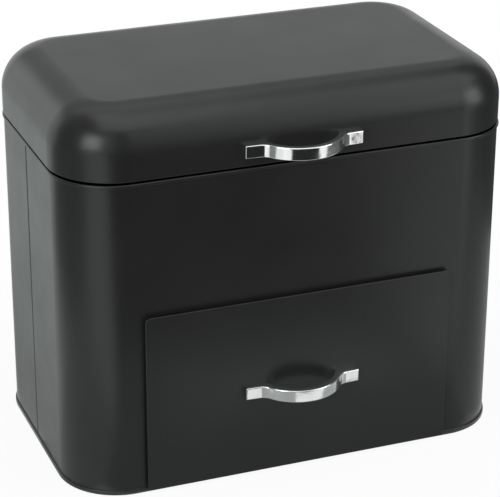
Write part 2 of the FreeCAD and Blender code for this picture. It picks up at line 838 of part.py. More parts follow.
def screw_places(level):
    """Give the places of a handle's two screws on the front."""
    return [(x, level) for x in mirrored_places("(screw_spacing / 2)")]


def make_handle(label, face, level):
    """Make a cast strap handle: two flat feet with a shallow bow sprung between them."""
    body = new_piece(label)
    plan = new_sketch(body, "XY_Plane", y=face, z=level)
    centre_y = "(handle_bow_radius - handle_reach)"
    inner_radius = "(handle_bow_radius - handle_thickness)"
    inner_end = f"sqrt({inner_radius} ^ 2 - {centre_y} ^ 2)"
    bow_end = "(handle_bow_span / 2)"
    foot_end = "(handle_length / 2)"
    corners = [
        (inner_end, "0"),
        (foot_end, "0"),
        (foot_end, "-handle_foot_end_thickness"),
        (bow_end, "-handle_foot_thickness"),
        (f"-{bow_end}", "-handle_foot_thickness"),
        (f"-{foot_end}", "-handle_foot_end_thickness"),
        (f"-{foot_end}", "0"),
        (f"-{inner_end}", "0"),
    ]
    points = [FreeCAD.Vector(value(x), value(y), 0) for x, y in corners]
    front_of_bow = FreeCAD.Vector(0, -value("handle_reach"), 0)
    back_of_bow = FreeCAD.Vector(0, -value("handle_reach - handle_thickness"), 0)
    front_arc = Part.Arc(points[3], front_of_bow, points[4])
    back_arc = Part.Arc(points[7], back_of_bow, points[0])
    outline = [
        Part.LineSegment(points[0], points[1]),
        Part.LineSegment(points[1], points[2]),
        Part.LineSegment(points[2], points[3]),
        front_arc,
        Part.LineSegment(points[4], points[5]),
        Part.LineSegment(points[5], points[6]),
        Part.LineSegment(points[6], points[7]),
        back_arc,
    ]
    for curve in outline:
        plan.addGeometry(curve, False)
    # An arc runs anticlockwise, so it may start at either of its two corners.
    ends = []
    for index in range(len(outline)):
        start_is_first = plan.getPoint(index, 1).distanceToPoint(points[index]) < TOLERANCE
        ends.append((1, 2) if start_is_first else (2, 1))
    for index in range(len(outline)):
        following = (index + 1) % len(outline)
        joint = (index, ends[index][1], following, ends[following][0])
        plan.addConstraint(Sketcher.Constraint("Coincident", *joint))
    for index, (x, y) in enumerate(corners):
        bind_point(plan, index, ends[index][0], x, y)
    bind(plan, "Radius", (outline.index(front_arc),), "handle_bow_radius")
    bind(plan, "Radius", (outline.index(back_arc),), inner_radius)
    add_middle_pad(body, plan, "handle_height")

    half_height = value("handle_height / 2")
    middle = value(level)
    mount_face = value(face)
    thinnest_foot = value("handle_foot_end_thickness")
    front_radius = value("handle_bow_radius")
    bow_centre = FreeCAD.Vector(0, mount_face + value(centre_y), 0)

    def on_broad_side(edge):
        return all(near(abs(point.z - middle), half_height) for point in edge_samples(edge))

    def on_front(edge):
        point = edge.valueAt(sum(edge.ParameterRange) / 2)
        level_point = FreeCAD.Vector(point.x, point.y, 0)
        on_bow = abs(level_point.distanceToPoint(bow_centre) - front_radius) < TOLERANCE
        in_front_of_foot = point.y < mount_face - thinnest_foot + TOLERANCE
        behind_bow = abs(point.x) < value(inner_end)
        return on_bow or (in_front_of_foot and not behind_bow)

    bevel_edges(body, lambda edge: on_broad_side(edge) and on_front(edge), "handle_bevel")
    hole_depth = "(2 * (screw_engagement + screw_tip_clearance))"
    drill_along_y(body, screw_places(level), face, SCREW_HOLE, hole_depth)


def make_handle_screws(label, inner_face, mount_face, level):
    """Make a handle's two screws, driven from inside through the sheet into its feet."""
    body = new_piece(label)
    shank = "(screw_diameter / 2)"
    rim = "(screw_head_diameter / 2)"
    seat = f"({inner_face} + washer_thickness)"
    crown = f"({seat} + screw_head_height)"
    tip = f"({mount_face} - screw_engagement)"
    for x, _ in screw_places(level):
        profile = new_sketch(body, "XY_Plane", x=x, z=level)
        draw_polygon(
            profile,
            [
                ("0", tip),
                (shank, tip),
                (shank, seat),
                (rim, seat),
                (rim, f"({crown} - screw_head_chamfer)"),
                (f"({rim} - screw_head_chamfer)", crown),
                ("0", crown),
            ],
        )
        turn_round_axis(body, profile, "V_Axis")
    for length, height in (
        ("screw_recess_length", "screw_recess_width"),
        ("screw_recess_width", "screw_recess_length"),
    ):
        recess = new_sketch(body, "XZ_Plane", y=crown, z=level)
        for x in mirrored_places("(screw_spacing / 2)"):
            draw_rectangle(
                recess, f"({x} - {length} / 2)", f"({x} + {length} / 2)",
                f"(-{height} / 2)", f"({height} / 2)",
            )
        cut_middle(body, recess, "(2 * screw_recess_depth)")


def make_handle_washers(label, inner_face, level):
    """Make the two washers under the heads of a handle's screws."""
    body = new_piece(label)
    middle = f"({inner_face} + washer_thickness / 2)"
    rings = new_sketch(body, "XZ_Plane", y=middle)
    for x, z in screw_places(level):
        draw_circle(rings, x, z, "(washer_diameter / 2)")
        draw_circle(rings, x, z, f"({SCREW_HOLE} / 2)")
    add_middle_pad(body, rings, "washer_thickness")


# Hinges ------------------------------------------------------------------------------------

RIVET_HOLE = "(rivet_diameter + 2 * rivet_clearance)"
LID_RIVET_Z = f"({LID_BOTTOM} + lid_rivet_level)"
BODY_RIVET_Z = f"({RIM_TOP} - body_rivet_level)"


def hinge_middle(side):
    """Give the place of one hinge across the back."""
    return f"({side} * (body_width / 2 - hinge_inset))"


def leaf_rivet_places(side, level):
    """Give the places of one leaf's two rivets."""
    return [(f"({hinge_middle(side)} + {x})", level) for x in mirrored_places("(rivet_spacing / 2)")]


def hinge_rivet_places(level):
    """Give the places of both hinges' rivets at one level."""
    return [place for side in SIDES.values() for place in leaf_rivet_places(side, level)]


def pin_sketch(body, side):
    """Start a sketch across the hinge pin, with its origin on the pin's axis."""
    return new_sketch(body, "YZ_Plane", x=hinge_middle(side), y=PIN_Y, z=PIN_Z)


def add_knuckle(body, side, width):
    """Wrap a leaf round the pin over part of its width."""
    knuckle = pin_sketch(body, side)
    draw_circle(knuckle, "0", "0", KNUCKLE_RADIUS)
    add_middle_pad(body, knuckle, width)


def bore_knuckle(body, side):
    """Bore a leaf's knuckles for the pin."""
    bore = pin_sketch(body, side)
    draw_circle(bore, "0", "0", "(hinge_pin_diameter / 2 + hinge_pin_clearance)")
    cut_middle(body, bore, "(2 * hinge_width)")


def free_end_corner(level):
    """Make a test for the two corners at the free end of a leaf."""
    height = value(level)
    along_y = parallel_edge(ALONG_Y)
    return lambda edge: along_y(edge) and near(edge.CenterOfMass.z, height)


def make_body_leaf(side_name, side):
    """Make the leaf riveted to the body, stepped over the bead, with two knuckles."""
    body = new_piece(f"body_hinge_leaf_{side_name}")
    over_bead = f"(-{PIN_STANDOFF})"
    on_wall = f"({over_bead} - bead_projection)"
    step_top = "(-lid_gap / 2 - bead_height - joggle_clearance)"
    step_bottom = f"({step_top} - joggle_length)"
    free_end = "(-body_leaf_drop)"
    section = pin_sketch(body, side)
    draw_polygon(
        section,
        [
            (on_wall, free_end),
            (f"({on_wall} + hinge_sheet)", free_end),
            (f"({on_wall} + hinge_sheet)", step_bottom),
            (f"({over_bead} + hinge_sheet)", step_top),
            (f"({over_bead} + hinge_sheet)", "0"),
            (over_bead, "0"),
            (over_bead, step_top),
            (on_wall, step_bottom),
        ],
    )
    add_middle_pad(body, section, "hinge_width")
    add_knuckle(body, side, "hinge_width")
    notch = pin_sketch(body, side)
    draw_rectangle(
        notch, f"(2 * {over_bead})", PIN_STANDOFF, f"(-{PIN_STANDOFF})", PIN_STANDOFF
    )
    cut_middle(body, notch, "(knuckle_width + 2 * knuckle_end_gap)")
    bore_knuckle(body, side)
    round_edges(body, free_end_corner(f"({PIN_Z} + {free_end})"), "leaf_corner_radius")
    drill_along_y(
        body, leaf_rivet_places(side, BODY_RIVET_Z), BACK_WALL, RIVET_HOLE, "(4 * hinge_sheet)"
    )


def make_lid_leaf(side_name, side):
    """Make the leaf riveted to the lid, with its knuckle and the lug that stops the lid."""
    body = new_piece(f"lid_hinge_leaf_{side_name}")
    section = pin_sketch(body, side)
    wall_face = f"(-{PIN_STANDOFF})"
    draw_rectangle(section, wall_face, f"({wall_face} + hinge_sheet)", "0", "lid_leaf_rise")
    add_middle_pad(body, section, "hinge_width")
    shoulders = new_sketch(body, "XZ_Plane", x=hinge_middle(side), y=LID_BACK, z=PIN_Z)
    for end in SIDES.values():
        inner = f"({end} * knuckle_width / 2)"
        draw_rectangle(shoulders, inner, f"({end} * hinge_width)", f"(-{PIN_STANDOFF})", PIN_STANDOFF)
    cut_middle(body, shoulders, f"(4 * {PIN_STANDOFF})")
    add_knuckle(body, side, "knuckle_width")

    lug = pin_sketch(body, side)
    lug_back = f"({LUG_FACE} + hinge_sheet)"
    open_corners = [
        (LUG_FACE, "-lug_reach"),
        (lug_back, "-lug_reach"),
        (lug_back, "-lug_root"),
        (LUG_FACE, "-lug_root"),
    ]
    closed_corners = [
        (
            f"({y} * cos({OPEN_ANGLE}) - ({z}) * sin({OPEN_ANGLE}))",
            f"({y} * sin({OPEN_ANGLE}) + ({z}) * cos({OPEN_ANGLE}))",
        )
        for y, z in open_corners
    ]
    draw_polygon(lug, closed_corners)
    add_middle_pad(body, lug, "knuckle_width")
    bore_knuckle(body, side)
    round_edges(body, free_end_corner(f"({PIN_Z} + lid_leaf_rise)"), "leaf_corner_radius")
    drill_along_y(
        body, leaf_rivet_places(side, LID_RIVET_Z), LID_BACK, RIVET_HOLE, "(4 * hinge_sheet)"
    )


def make_hinge_pin(side_name, side):
    """Make the headed pin that joins the two leaves of a hinge."""
    body = new_piece(f"hinge_pin_{side_name}")
    profile = new_sketch(body, "XY_Plane", x=hinge_middle(side), y=PIN_Y, z=PIN_Z)
    shank = "(hinge_pin_diameter / 2)"
    head = "(hinge_pin_head_diameter / 2)"
    inner_end = "(hinge_width / 2 + knuckle_end_gap)"
    outer_end = f"({inner_end} + hinge_pin_head_length)"
    draw_polygon(
        profile,
        [
            (f"-{outer_end}", "0"),
            (outer_end, "0"),
            (outer_end, head),
            (inner_end, head),
            (inner_end, shank),
            (f"-{inner_end}", shank),
            (f"-{inner_end}", head),
            (f"-{outer_end}", head),
        ],
    )
    turn_round_axis(body, profile, "H_Axis")


def make_hinge_rivets(label, level, wall):
    """Make the four rivets that hold one row of leaves, heads outside, tails inside."""
    body = new_piece(label)
    shank = "(rivet_diameter / 2)"
    head = "(rivet_head_diameter / 2)"
    leaf_back = f"({wall} + hinge_sheet)"
    inner_face = f"({wall} - sheet_thickness)"
    for x, z in hinge_rivet_places(level):
        profile = new_sketch(body, "XY_Plane", x=x, z=z)
        draw_polygon(
            profile,
            [
                ("0", f"({inner_face} - rivet_tail_height)"),
                (f"({head} - rivet_tail_height)", f"({inner_face} - rivet_tail_height)"),
                (f"({head} - rivet_tail_height / 2)", inner_face),
                (shank, inner_face),
                (shank, leaf_back),
                (head, leaf_back),
                (head, f"({leaf_back} + rivet_head_edge)"),
                ("(rivet_crown_diameter / 2)", f"({leaf_back} + rivet_head_height)"),
                ("0", f"({leaf_back} + rivet_head_height)"),
            ],
        )
        turn_round_axis(body, profile, "V_Axis")


def check_and_export():
    """Refuse a failed feature or an invalid piece, then write one file per piece."""
    for item in doc.Objects:
        if "Invalid" in item.State or "Error" in item.State:
            raise RuntimeError(f"{item.Label} failed: {item.State}")
    for piece in pieces:
        if piece.Shape.isNull() or not piece.Shape.isValid():
            raise RuntimeError(f"{piece.Label} has no valid shape")
    os.makedirs("parts", exist_ok=True)
    for piece in pieces:
        piece.Shape.exportStep(f"parts/{piece.Label}.step")
        box = piece.Shape.BoundBox
        print(
            f"{piece.Label}: {len(piece.Shape.Solids)} solid(s), {piece.Shape.Volume:.0f} mm3, "
            f"x {box.XMin:.2f} {box.XMax:.2f}, y {box.YMin:.2f} {box.YMax:.2f}, "
            f"z {box.ZMin:.2f} {box.ZMax:.2f}"
        )


make_body_front_shell()
make_body_back_shell()
make_base_pan()
make_divider_shelf()
make_rubber_feet()

make_drawer_tray()
make_drawer_front_panel()
make_drawer_bumpers()
make_handle("drawer_handle", PANEL_FRONT, DRAWER_HANDLE_Z)
make_handle_washers("drawer_handle_washers", TRAY_FRONT_INSIDE, DRAWER_HANDLE_Z)
make_handle_screws("drawer_handle_screws", TRAY_FRONT_INSIDE, PANEL_FRONT, DRAWER_HANDLE_Z)

make_lid_shell()
make_handle("lid_handle", LID_FRONT, LID_HANDLE_Z)
make_handle_washers("lid_handle_washers", LID_FRONT_INSIDE, LID_HANDLE_Z)
make_handle_screws("lid_handle_screws", LID_FRONT_INSIDE, LID_FRONT, LID_HANDLE_Z)

for hinge_name, hinge_side in SIDES.items():
    make_drawer_guide(hinge_name, hinge_side)
    make_body_leaf(hinge_name, hinge_side)
    make_lid_leaf(hinge_name, hinge_side)
    make_hinge_pin(hinge_name, hinge_side)
make_hinge_rivets("lid_hinge_rivets", LID_RIVET_Z, LID_BACK)
make_hinge_rivets("body_hinge_rivets", BODY_RIVET_Z, BACK_WALL)

doc.recompute()
check_and_export()
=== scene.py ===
"""Dresses a sheet-steel bread box: a lidded bread compartment over one drawer.

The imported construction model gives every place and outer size. The large pressings, the
bow handles and the drawer are modelled again here with soft folds and edges. The small
hardware keeps its construction shape. Every surface gets a procedural finish.
Lengths are in metres, in the frame of the construction model.
"""

from __future__ import annotations

import json
import logging
import math
from dataclasses import dataclass
from enum import Enum
from typing import Any, Callable, Iterable

import bmesh
import bpy
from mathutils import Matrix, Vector


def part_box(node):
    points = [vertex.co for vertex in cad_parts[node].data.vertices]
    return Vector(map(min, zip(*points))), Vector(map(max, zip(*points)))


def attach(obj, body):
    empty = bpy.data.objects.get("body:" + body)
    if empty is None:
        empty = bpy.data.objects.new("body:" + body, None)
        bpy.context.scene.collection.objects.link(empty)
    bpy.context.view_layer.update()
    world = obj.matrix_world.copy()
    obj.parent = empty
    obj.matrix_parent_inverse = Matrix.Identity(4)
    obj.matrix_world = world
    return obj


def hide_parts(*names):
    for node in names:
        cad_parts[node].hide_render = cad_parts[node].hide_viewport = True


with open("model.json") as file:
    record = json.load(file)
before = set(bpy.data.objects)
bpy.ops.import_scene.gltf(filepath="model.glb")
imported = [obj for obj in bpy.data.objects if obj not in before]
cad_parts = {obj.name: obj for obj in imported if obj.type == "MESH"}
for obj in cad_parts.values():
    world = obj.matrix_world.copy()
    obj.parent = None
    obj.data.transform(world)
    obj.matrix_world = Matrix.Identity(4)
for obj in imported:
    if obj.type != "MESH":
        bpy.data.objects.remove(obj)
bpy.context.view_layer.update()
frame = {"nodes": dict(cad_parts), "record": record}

LOG = logging.getLogger("bread_box")
MM = 0.001
HAIR = 0.001 * MM
TOUCH = 0.02 * MM
WALL_SLACK = 0.06 * MM

# How far a normal or an edge of length 1 reaches along an axis.
ALIGNED = 0.9999
LEVEL_FACE = 0.9
SLOPED_FACE = 0.3
UPRIGHT_FACE = 0.1

DRILL_SIDES = 40
SMOOTH_ANGLE = math.radians(35)
BEVEL_SAMPLES = 4
WHITE = (1.0, 1.0, 1.0, 1.0)
DUST_COLOUR = (0.30, 0.29, 0.28, 1.0)

Pair = tuple[float, float]
Triple = tuple[float, float, float]
Test = Callable[[Any], bool]


class Body(str, Enum):
    """The bodies of the box that move against each other."""

    BOX = "box_body"
    LID = "lid"
    DRAWER = "drawer"


class Slot(str, Enum):
    """The material slots of the record."""

    COAT = "black_powder_coat"
    INNER = "black_inner_coat"
    CHROME = "bright_chrome"
    STEEL = "plated_steel"
    RUBBER = "black_rubber"


class Side(Enum):
    """A side of the box, as the sign of x."""

    LEFT = -1
    RIGHT = 1


# Node graphs


def opaque(colour: Triple) -> tuple[float, float, float, float]:
    """Add full alpha to a colour."""
    return (*colour, 1.0)


class Graph:
    """A node tree with short calls that add nodes and join them."""

    def __init__(self, tree: bpy.types.NodeTree) -> None:
        """Keep the tree that the nodes go into."""
        self.tree = tree

    def supply(self, node: Any, sources: dict[Any, Any]) -> None:
        """Feed a node's inputs.

        Args:
            node: The node.
            sources: Socket name or index to a constant or to the socket that feeds it.
        """
        for key, source in sources.items():
            if isinstance(source, bpy.types.NodeSocket):
                self.tree.links.new(source, node.inputs[key])
            else:
                node.inputs[key].default_value = source

    def add(self, kind: str, inputs: dict[Any, Any] | None = None, **settings: Any) -> Any:
        """Add one node.

        Args:
            kind: The node's type name, without the leading "ShaderNode".
            inputs: What feeds it, as for supply.
            settings: Properties of the node itself.

        Returns:
            The new node.
        """
        node = self.tree.nodes.new(f"ShaderNode{kind}")
        for name, setting in settings.items():
            setattr(node, name, setting)
        self.supply(node, inputs or {})
        return node

    def math(self, operation: str, *terms: Any, clamp: bool = False) -> Any:
        """Add a Math node and return its output."""
        node = self.add("Math", dict(enumerate(terms)), operation=operation, use_clamp=clamp)
        return node.outputs[0]

    def remap(self, source: Any, low: float, high: float, to_low: float, to_high: float) -> Any:
        """Map a value from one range to another, held at both ends."""
        terms = (source, low, high, to_low, to_high)
        return self.add("MapRange", dict(enumerate(terms))).outputs[0]

    def noise(self, place: Any, scale: Any, detail: float = 2.0, roughness: float = 0.5) -> Any:
        """Add a noise texture and return its value."""
        inputs = {"Vector": place, "Scale": scale, "Detail": detail, "Roughness": roughness}
        return self.add("TexNoise", inputs).outputs["Fac"]

    def rounded(self, radius: Any) -> Any:
        """Give the normal of a surface whose edges are rounded a little."""
        return self.add("Bevel", {"Radius": radius}, samples=BEVEL_SAMPLES).outputs["Normal"]

    def mix_colour(self, factor: Any, first: Any, second: Any) -> Any:
        """Blend two colours by a factor and return the result."""
        return self.add("Mix", {0: factor, 6: first, 7: second}, data_type="RGBA").outputs[2]

    def bump(self, height: Any, depth: float, under: Any = None) -> Any:
        """Turn a height from 0 to 1 into a normal, over an earlier one if given."""
        inputs = {"Normal": under} if under else {}
        inputs |= {"Strength": 1.0, "Distance": depth, "Height": height}
        return self.add("Bump", inputs).outputs["Normal"]


@dataclass(frozen=True)
class Cloud:
    """A noise, stretched between two of its levels over a span of values."""

    scale: Any
    detail: float
    levels: Pair = (0.3, 0.7)
    span: Pair = (0.0, 1.0)
    roughness: float = 0.5

    def over(self, graph: Graph, place: Any) -> Any:
        """Add the cloud to a graph and return its value."""
        noise = graph.noise(place, self.scale, self.detail, self.roughness)
        return graph.remap(noise, *self.levels, *self.span)


def new_group(
    name: str, inputs: dict[str, Any], outputs: Iterable[str]
) -> tuple[Graph, dict[str, Any], Any]:
    """Start a shared effect.

    Args:
        name: The name of the node group.
        inputs: Input names to their defaults; None makes a vector socket.
        outputs: Names of its value outputs.

    Returns:
        The graph inside, its inputs by name and its output node.
    """
    group = bpy.data.node_groups.new(name, "ShaderNodeTree")
    for label, default in inputs.items():
        kind = "NodeSocketVector" if default is None else "NodeSocketFloat"
        socket = group.interface.new_socket(label, in_out="INPUT", socket_type=kind)
        if default is not None:
            socket.default_value = default
    for label in outputs:
        group.interface.new_socket(label, in_out="OUTPUT", socket_type="NodeSocketFloat")
    given = group.nodes.new("NodeGroupInput").outputs
    result = group.nodes.new("NodeGroupOutput")
    return Graph(group), {label: given[label] for label in inputs}, result


def make_grain_effect() -> bpy.types.NodeTree:
    """Make a fine two-octave grain: the height of a sprayed, sanded or moulded skin.

    Returns:
        The node group.
    """
    inputs = {"Place": None, "Size": 0.001, "Sparkle": 0.2}
    graph, given, result = new_group("fine_grain", inputs, ("Height", "Mask"))
    scale = graph.math("DIVIDE", 1.0, given["Size"])
    coarse = graph.noise(given["Place"], scale, detail=2.0, roughness=0.45)
    fine_scale = graph.math("MULTIPLY", scale, 3.7)
    fine = graph.noise(given["Place"], fine_scale, detail=1.0)
    sparkle = graph.math("MULTIPLY", fine, given["Sparkle"])
    height = graph.math("ADD", coarse, sparkle)
    graph.supply(result, {"Height": height, "Mask": graph.remap(fine, 0.55, 0.75, 0.0, 1.0)})
    return graph.tree


def make_edge_effect() -> bpy.types.NodeTree:
    """Make a mask of the edges where a coat pulls thin and hands have rubbed it, which on the
    black coat also carries a painted highlight along the edges.

    Returns:
        The node group.
    """
    inputs = {"Place": None, "Width": 0.0006, "Break Size": 0.012}
    graph, given, result = new_group("edge_rub_and_highlight", inputs, ("Mask",))
    normals = {0: graph.rounded(given["Width"]), 1: graph.add("NewGeometry").outputs["Normal"]}
    agree = graph.add("VectorMath", normals, operation="DOT_PRODUCT").outputs["Value"]
    edge = graph.remap(agree, 0.995, 0.85, 0.0, 1.0)
    scale = graph.math("DIVIDE", 1.0, given["Break Size"])
    patch = Cloud(scale, 4.0, (0.35, 0.65), (0.2, 1.0)).over(graph, given["Place"])
    graph.supply(result, {"Mask": graph.math("MULTIPLY", edge, patch)})
    return graph.tree


def make_dust_effect() -> bpy.types.NodeTree:
    """Make a mask of the thin film that settles on faces that look up.

    Returns:
        The node group.
    """
    inputs = {"Place": None, "Amount": 0.1}
    graph, given, result = new_group("settled_dust", inputs, ("Mask",))
    normal = graph.add("NewGeometry").outputs["Normal"]
    height = graph.add("SeparateXYZ", {0: normal}).outputs["Z"]
    facing_up = graph.remap(height, 0.5, 1.0, 0.15, 1.0)
    cloud = Cloud(9.0, 5.0, (0.35, 0.7), (0.2, 1.0)).over(graph, given["Place"])
    specks = Cloud(900.0, 2.0, (0.62, 0.72), (0.0, 0.6)).over(graph, given["Place"])
    film = graph.math("MULTIPLY", facing_up, graph.math("ADD", cloud, specks))
    graph.supply(result, {"Mask": graph.math("MULTIPLY", film, given["Amount"], clamp=True)})
    return graph.tree


def make_ripple_effect() -> bpy.types.NodeTree:
    """Make a slow swell: the height of sheet that isn't quite flat or a cast skin.

    Returns:
        The node group.
    """
    inputs = {"Place": None, "Length": 0.08}
    graph, given, result = new_group("slow_ripple", inputs, ("Height",))
    scale = graph.math("DIVIDE", 1.0, given["Length"])
    swell = graph.noise(given["Place"], scale, detail=1.0, roughness=0.35)
    graph.supply(result, {"Height": swell})
    return graph.tree


def make_effects() -> dict[str, bpy.types.NodeTree]:
    """Make each shared effect once.

    Returns:
        The effects by name.
    """
    return {
        "grain": make_grain_effect(),
        "edge": make_edge_effect(),
        "dust": make_dust_effect(),
        "ripple": make_ripple_effect(),
    }


def start_material(name: str) -> tuple[bpy.types.Material, Graph, Any, Any]:
    """Start a material.

    Args:
        name: Its name.

    Returns:
        The material, its graph, its Principled shader and its object coordinates.
    """
    material = bpy.data.materials.new(name)
    material.use_nodes = True
    graph = Graph(material.node_tree)
    shader = material.node_tree.nodes["Principled BSDF"]
    return material, graph, shader, graph.add("TexCoord").outputs["Object"]


# Finishes


def shades(colour: Triple, darkest: float) -> tuple[Triple, Triple]:
    """Give a colour darkened to a share of itself, and in full."""
    return tuple(channel * darkest for channel in colour), colour


@dataclass(frozen=True)
class Grain:
    """A fine grain: its size, the share of its second octave, its depth and its haze."""

    size: float
    sparkle: float
    depth: float
    haze: float = 0.0


@dataclass(frozen=True)
class Edge:
    """Lighter edges, rubbed and on the black coat partly a painted highlight: their width, the
    length between breaks, their colour and strength.
    """

    width: float
    gap: float
    colour: Triple
    strength: float = 1.0
    haze: float = 0.0


@dataclass(frozen=True)
class Dust:
    """Settled dust: how much there is, its haze and whether its colour shows."""

    amount: float
    haze: float = 0.0
    shows: bool = True


@dataclass(frozen=True)
class Finish:
    """A material with a fine grain, and with lighter edges (rubbed, and on the black coat partly
    a painted highlight) and dust where it has them.

    Its two shades lie in clouds. A haze is what a feature adds to the roughness. Under the
    grain lies a slow swell of a length and depth, or the softened normal of its edges.
    """

    name: str
    shades: tuple[Triple, Triple]
    roughness: float
    edge: Edge | None = None
    tone: Cloud = Cloud(14.0, 4.0)
    haze: Cloud = Cloud(22.0, 5.0, span=(-0.03, 0.03), roughness=0.6)
    lines: Cloud | None = None
    line_stretch: Triple = (0.06, 1.0, 1.0)
    grain: Grain = Grain(1.1 * MM, 0.25, 0.012 * MM, 0.03)
    dust: Dust | None = None
    swell: Pair | None = None
    edge_radius: float = 0.3 * MM
    metallic: float = 0.0
    specular: float = 0.5
    specular_tint: Triple = (1.0, 1.0, 1.0)

    def build(self, effects: dict[str, bpy.types.NodeTree]) -> bpy.types.Material:
        """Make the material.

        Args:
            effects: The shared effects by name.

        Returns:
            The material.
        """
        material, graph, shader, place = start_material(self.name)

        def effect(name: str, **values: float) -> Any:
            """Place a shared effect on the piece and return its outputs."""
            inputs = {"Place": place} | {key.replace("_", " "): values[key] for key in values}
            return graph.add("Group", inputs, node_tree=effects[name]).outputs

        colour = graph.mix_colour(self.tone.over(graph, place), *map(opaque, self.shades))
        rough = graph.math("ADD", self.haze.over(graph, place), self.roughness)
        grain = effect("grain", Size=self.grain.size, Sparkle=self.grain.sparkle)
        hazes = [(grain["Mask"], self.grain.haze)]
        if self.edge:
            mask = effect("edge", Width=self.edge.width, Break_Size=self.edge.gap)["Mask"]
            # Edges lighter in colour: rubbed wear, and on the black coat partly a painted
            # highlight.
            rub_and_highlight = graph.math("MULTIPLY", mask, self.edge.strength)
            colour = graph.mix_colour(rub_and_highlight, colour, opaque(self.edge.colour))
            hazes.append((mask, self.edge.haze))
        if self.dust:
            mask = effect("dust", Amount=self.dust.amount)["Mask"]
            hazes.append((mask, self.dust.haze))
            if self.dust.shows:
                colour = graph.mix_colour(mask, colour, DUST_COLOUR)
        if self.lines:
            mapping = graph.add("Mapping", {"Vector": place, "Scale": self.line_stretch})
            rough = graph.math("ADD", rough, self.lines.over(graph, mapping.outputs[0]))
        for mask, haze in hazes:
            if haze:
                rough = graph.math("ADD", rough, graph.math("MULTIPLY", mask, haze))
        if self.swell:
            length, depth = self.swell
            under = graph.bump(effect("ripple", Length=length)["Height"], depth)
        else:
            under = graph.rounded(self.edge_radius)
        surface = {
            "Base Color": colour,
            "Roughness": rough,
            "Normal": graph.bump(grain["Height"], self.grain.depth, under),
            "Metallic": self.metallic,
            "Specular IOR Level": self.specular,
            "Specular Tint": opaque(self.specular_tint),
        }
        graph.supply(shader, surface)
        return material


@dataclass(frozen=True)
class PowderCoat(Finish):
    """A black powder coat on sheet steel: fine grain, thin and lighter at the edges, partly as a
    painted highlight, faint dust.
    """

    dust: Dust = Dust(0.05, 0.5)
    swell: Pair = (90 * MM, 0.25 * MM)
    specular_tint: Triple = (0.965, 1.0, 0.995)


@dataclass(frozen=True)
class ChromePlate(Finish):
    """Bright chrome on a cast handle: slow casting ripple, polish lines, duller where dust
    settles on faces that look up.
    """

    name: str = "bright_chrome_plate"
    shades: tuple[Triple, Triple] = shades((0.92, 0.92, 0.925), 0.93)
    roughness: float = 0.11
    tone: Cloud = Cloud(90.0, 3.0)
    haze: Cloud = Cloud(160.0, 4.0, (0.35, 0.7), (-0.02, 0.05))
    lines: Cloud = Cloud(5200.0, 3.0, (0.5, 0.8), (0.0, 0.05), 0.7)
    grain: Grain = Grain(0.7 * MM, 0.5, 0.002 * MM)
    dust: Dust = Dust(0.03, 1.5, False)
    swell: Pair = (5 * MM, 0.12 * MM)
    metallic: float = 1.0


@dataclass(frozen=True)
class PlatedSteel(Finish):
    """Dull nickel plate on stamped and headed steel, tumbled and lightly scuffed."""

    name: str = "dull_nickel_plate"
    shades: tuple[Triple, Triple] = shades((0.56, 0.555, 0.54), 0.72)
    roughness: float = 0.34
    edge: Edge = Edge(0.25 * MM, 3 * MM, (0.74, 0.74, 0.73), haze=-0.1)
    tone: Cloud = Cloud(240.0, 5.0, roughness=0.65)
    haze: Cloud = Cloud(240.0, 5.0, span=(0.06, -0.06), roughness=0.65)
    grain: Grain = Grain(0.35 * MM, 0.6, 0.006 * MM)
    dust: Dust = Dust(0.12)
    edge_radius: float = 0.2 * MM
    metallic: float = 1.0


@dataclass(frozen=True)
class MouldedRubber(Finish):
    """Matte black rubber with the fine pebble of its mould and a grey bloom."""

    name: str = "moulded_black_rubber"
    shades: tuple[Triple, Triple] = ((0.020, 0.020, 0.020), (0.075, 0.073, 0.070))
    roughness: float = 0.78
    edge: Edge = Edge(0.4 * MM, 4 * MM, (0.075, 0.073, 0.070), 0.5)
    tone: Cloud = Cloud(160.0, 4.0, (0.4, 0.75), (0.0, 0.6))
    haze: Cloud = Cloud(160.0, 4.0, (0.4, 0.75), (0.0, 0.072))
    grain: Grain = Grain(0.6 * MM, 0.8, 0.03 * MM)
    specular: float = 0.3


FINISHES = {
    Slot.COAT: PowderCoat(
        "satin_black_coat",
        shades((0.0112, 0.011, 0.011), 0.86),
        0.31,
        # Its lighter edges are partly worn coat and partly a painted highlight along the folds.
        Edge(0.5 * MM, 14 * MM, (0.07, 0.07, 0.071), 0.75),
        specular=0.48,
    ),
    Slot.INNER: PowderCoat(
        "matte_black_coat",
        shades((0.020, 0.020, 0.021), 0.86),
        0.55,
        Edge(0.5 * MM, 14 * MM, (0.06, 0.06, 0.06), 0.75),
        specular=0.4,
    ),
    Slot.CHROME: ChromePlate(),
    Slot.STEEL: PlatedSteel(),
    Slot.RUBBER: MouldedRubber(),
}


# Workbench


def anything(element: Any) -> bool:
    """Pass every element."""
    return True


def centre_of(element: Any) -> Vector:
    """Give the middle of an edge's or face's corners."""
    return sum((vert.co for vert in element.verts), Vector()) / len(element.verts)


def lies_at(axis: int, level: float) -> Test:
    """Make a test for elements that lie wholly at one level of an axis."""
    return lambda element: all(abs(vert.co[axis] - level) < TOUCH for vert in element.verts)


def between(axis: int, low: float, high: float) -> Test:
    """Make a test for elements whose middle lies between two levels of an axis."""
    return lambda element: low < centre_of(element)[axis] < high


def runs_along(axis: int) -> Test:
    """Make a test for edges parallel to an axis.

    Args:
        axis: 0, 1 or 2 for x, y or z.

    Returns:
        The test.
    """

    def test(edge: Any) -> bool:
        """Tell whether an edge is parallel to the axis."""
        run = edge.verts[1].co - edge.verts[0].co
        return run.length > TOUCH and abs(run.normalized()[axis]) > ALIGNED

    return test


def stands_at(x: float, y: float) -> Test:
    """Make a test for corners on an upright line on either half of the box."""
    return lambda vert: math.hypot(abs(vert.co.x) - abs(x), vert.co.y - y) < TOUCH


def both(*tests: Test) -> Test:
    """Make a test that passes where all the given tests pass."""
    return lambda element: all(test(element) for test in tests)


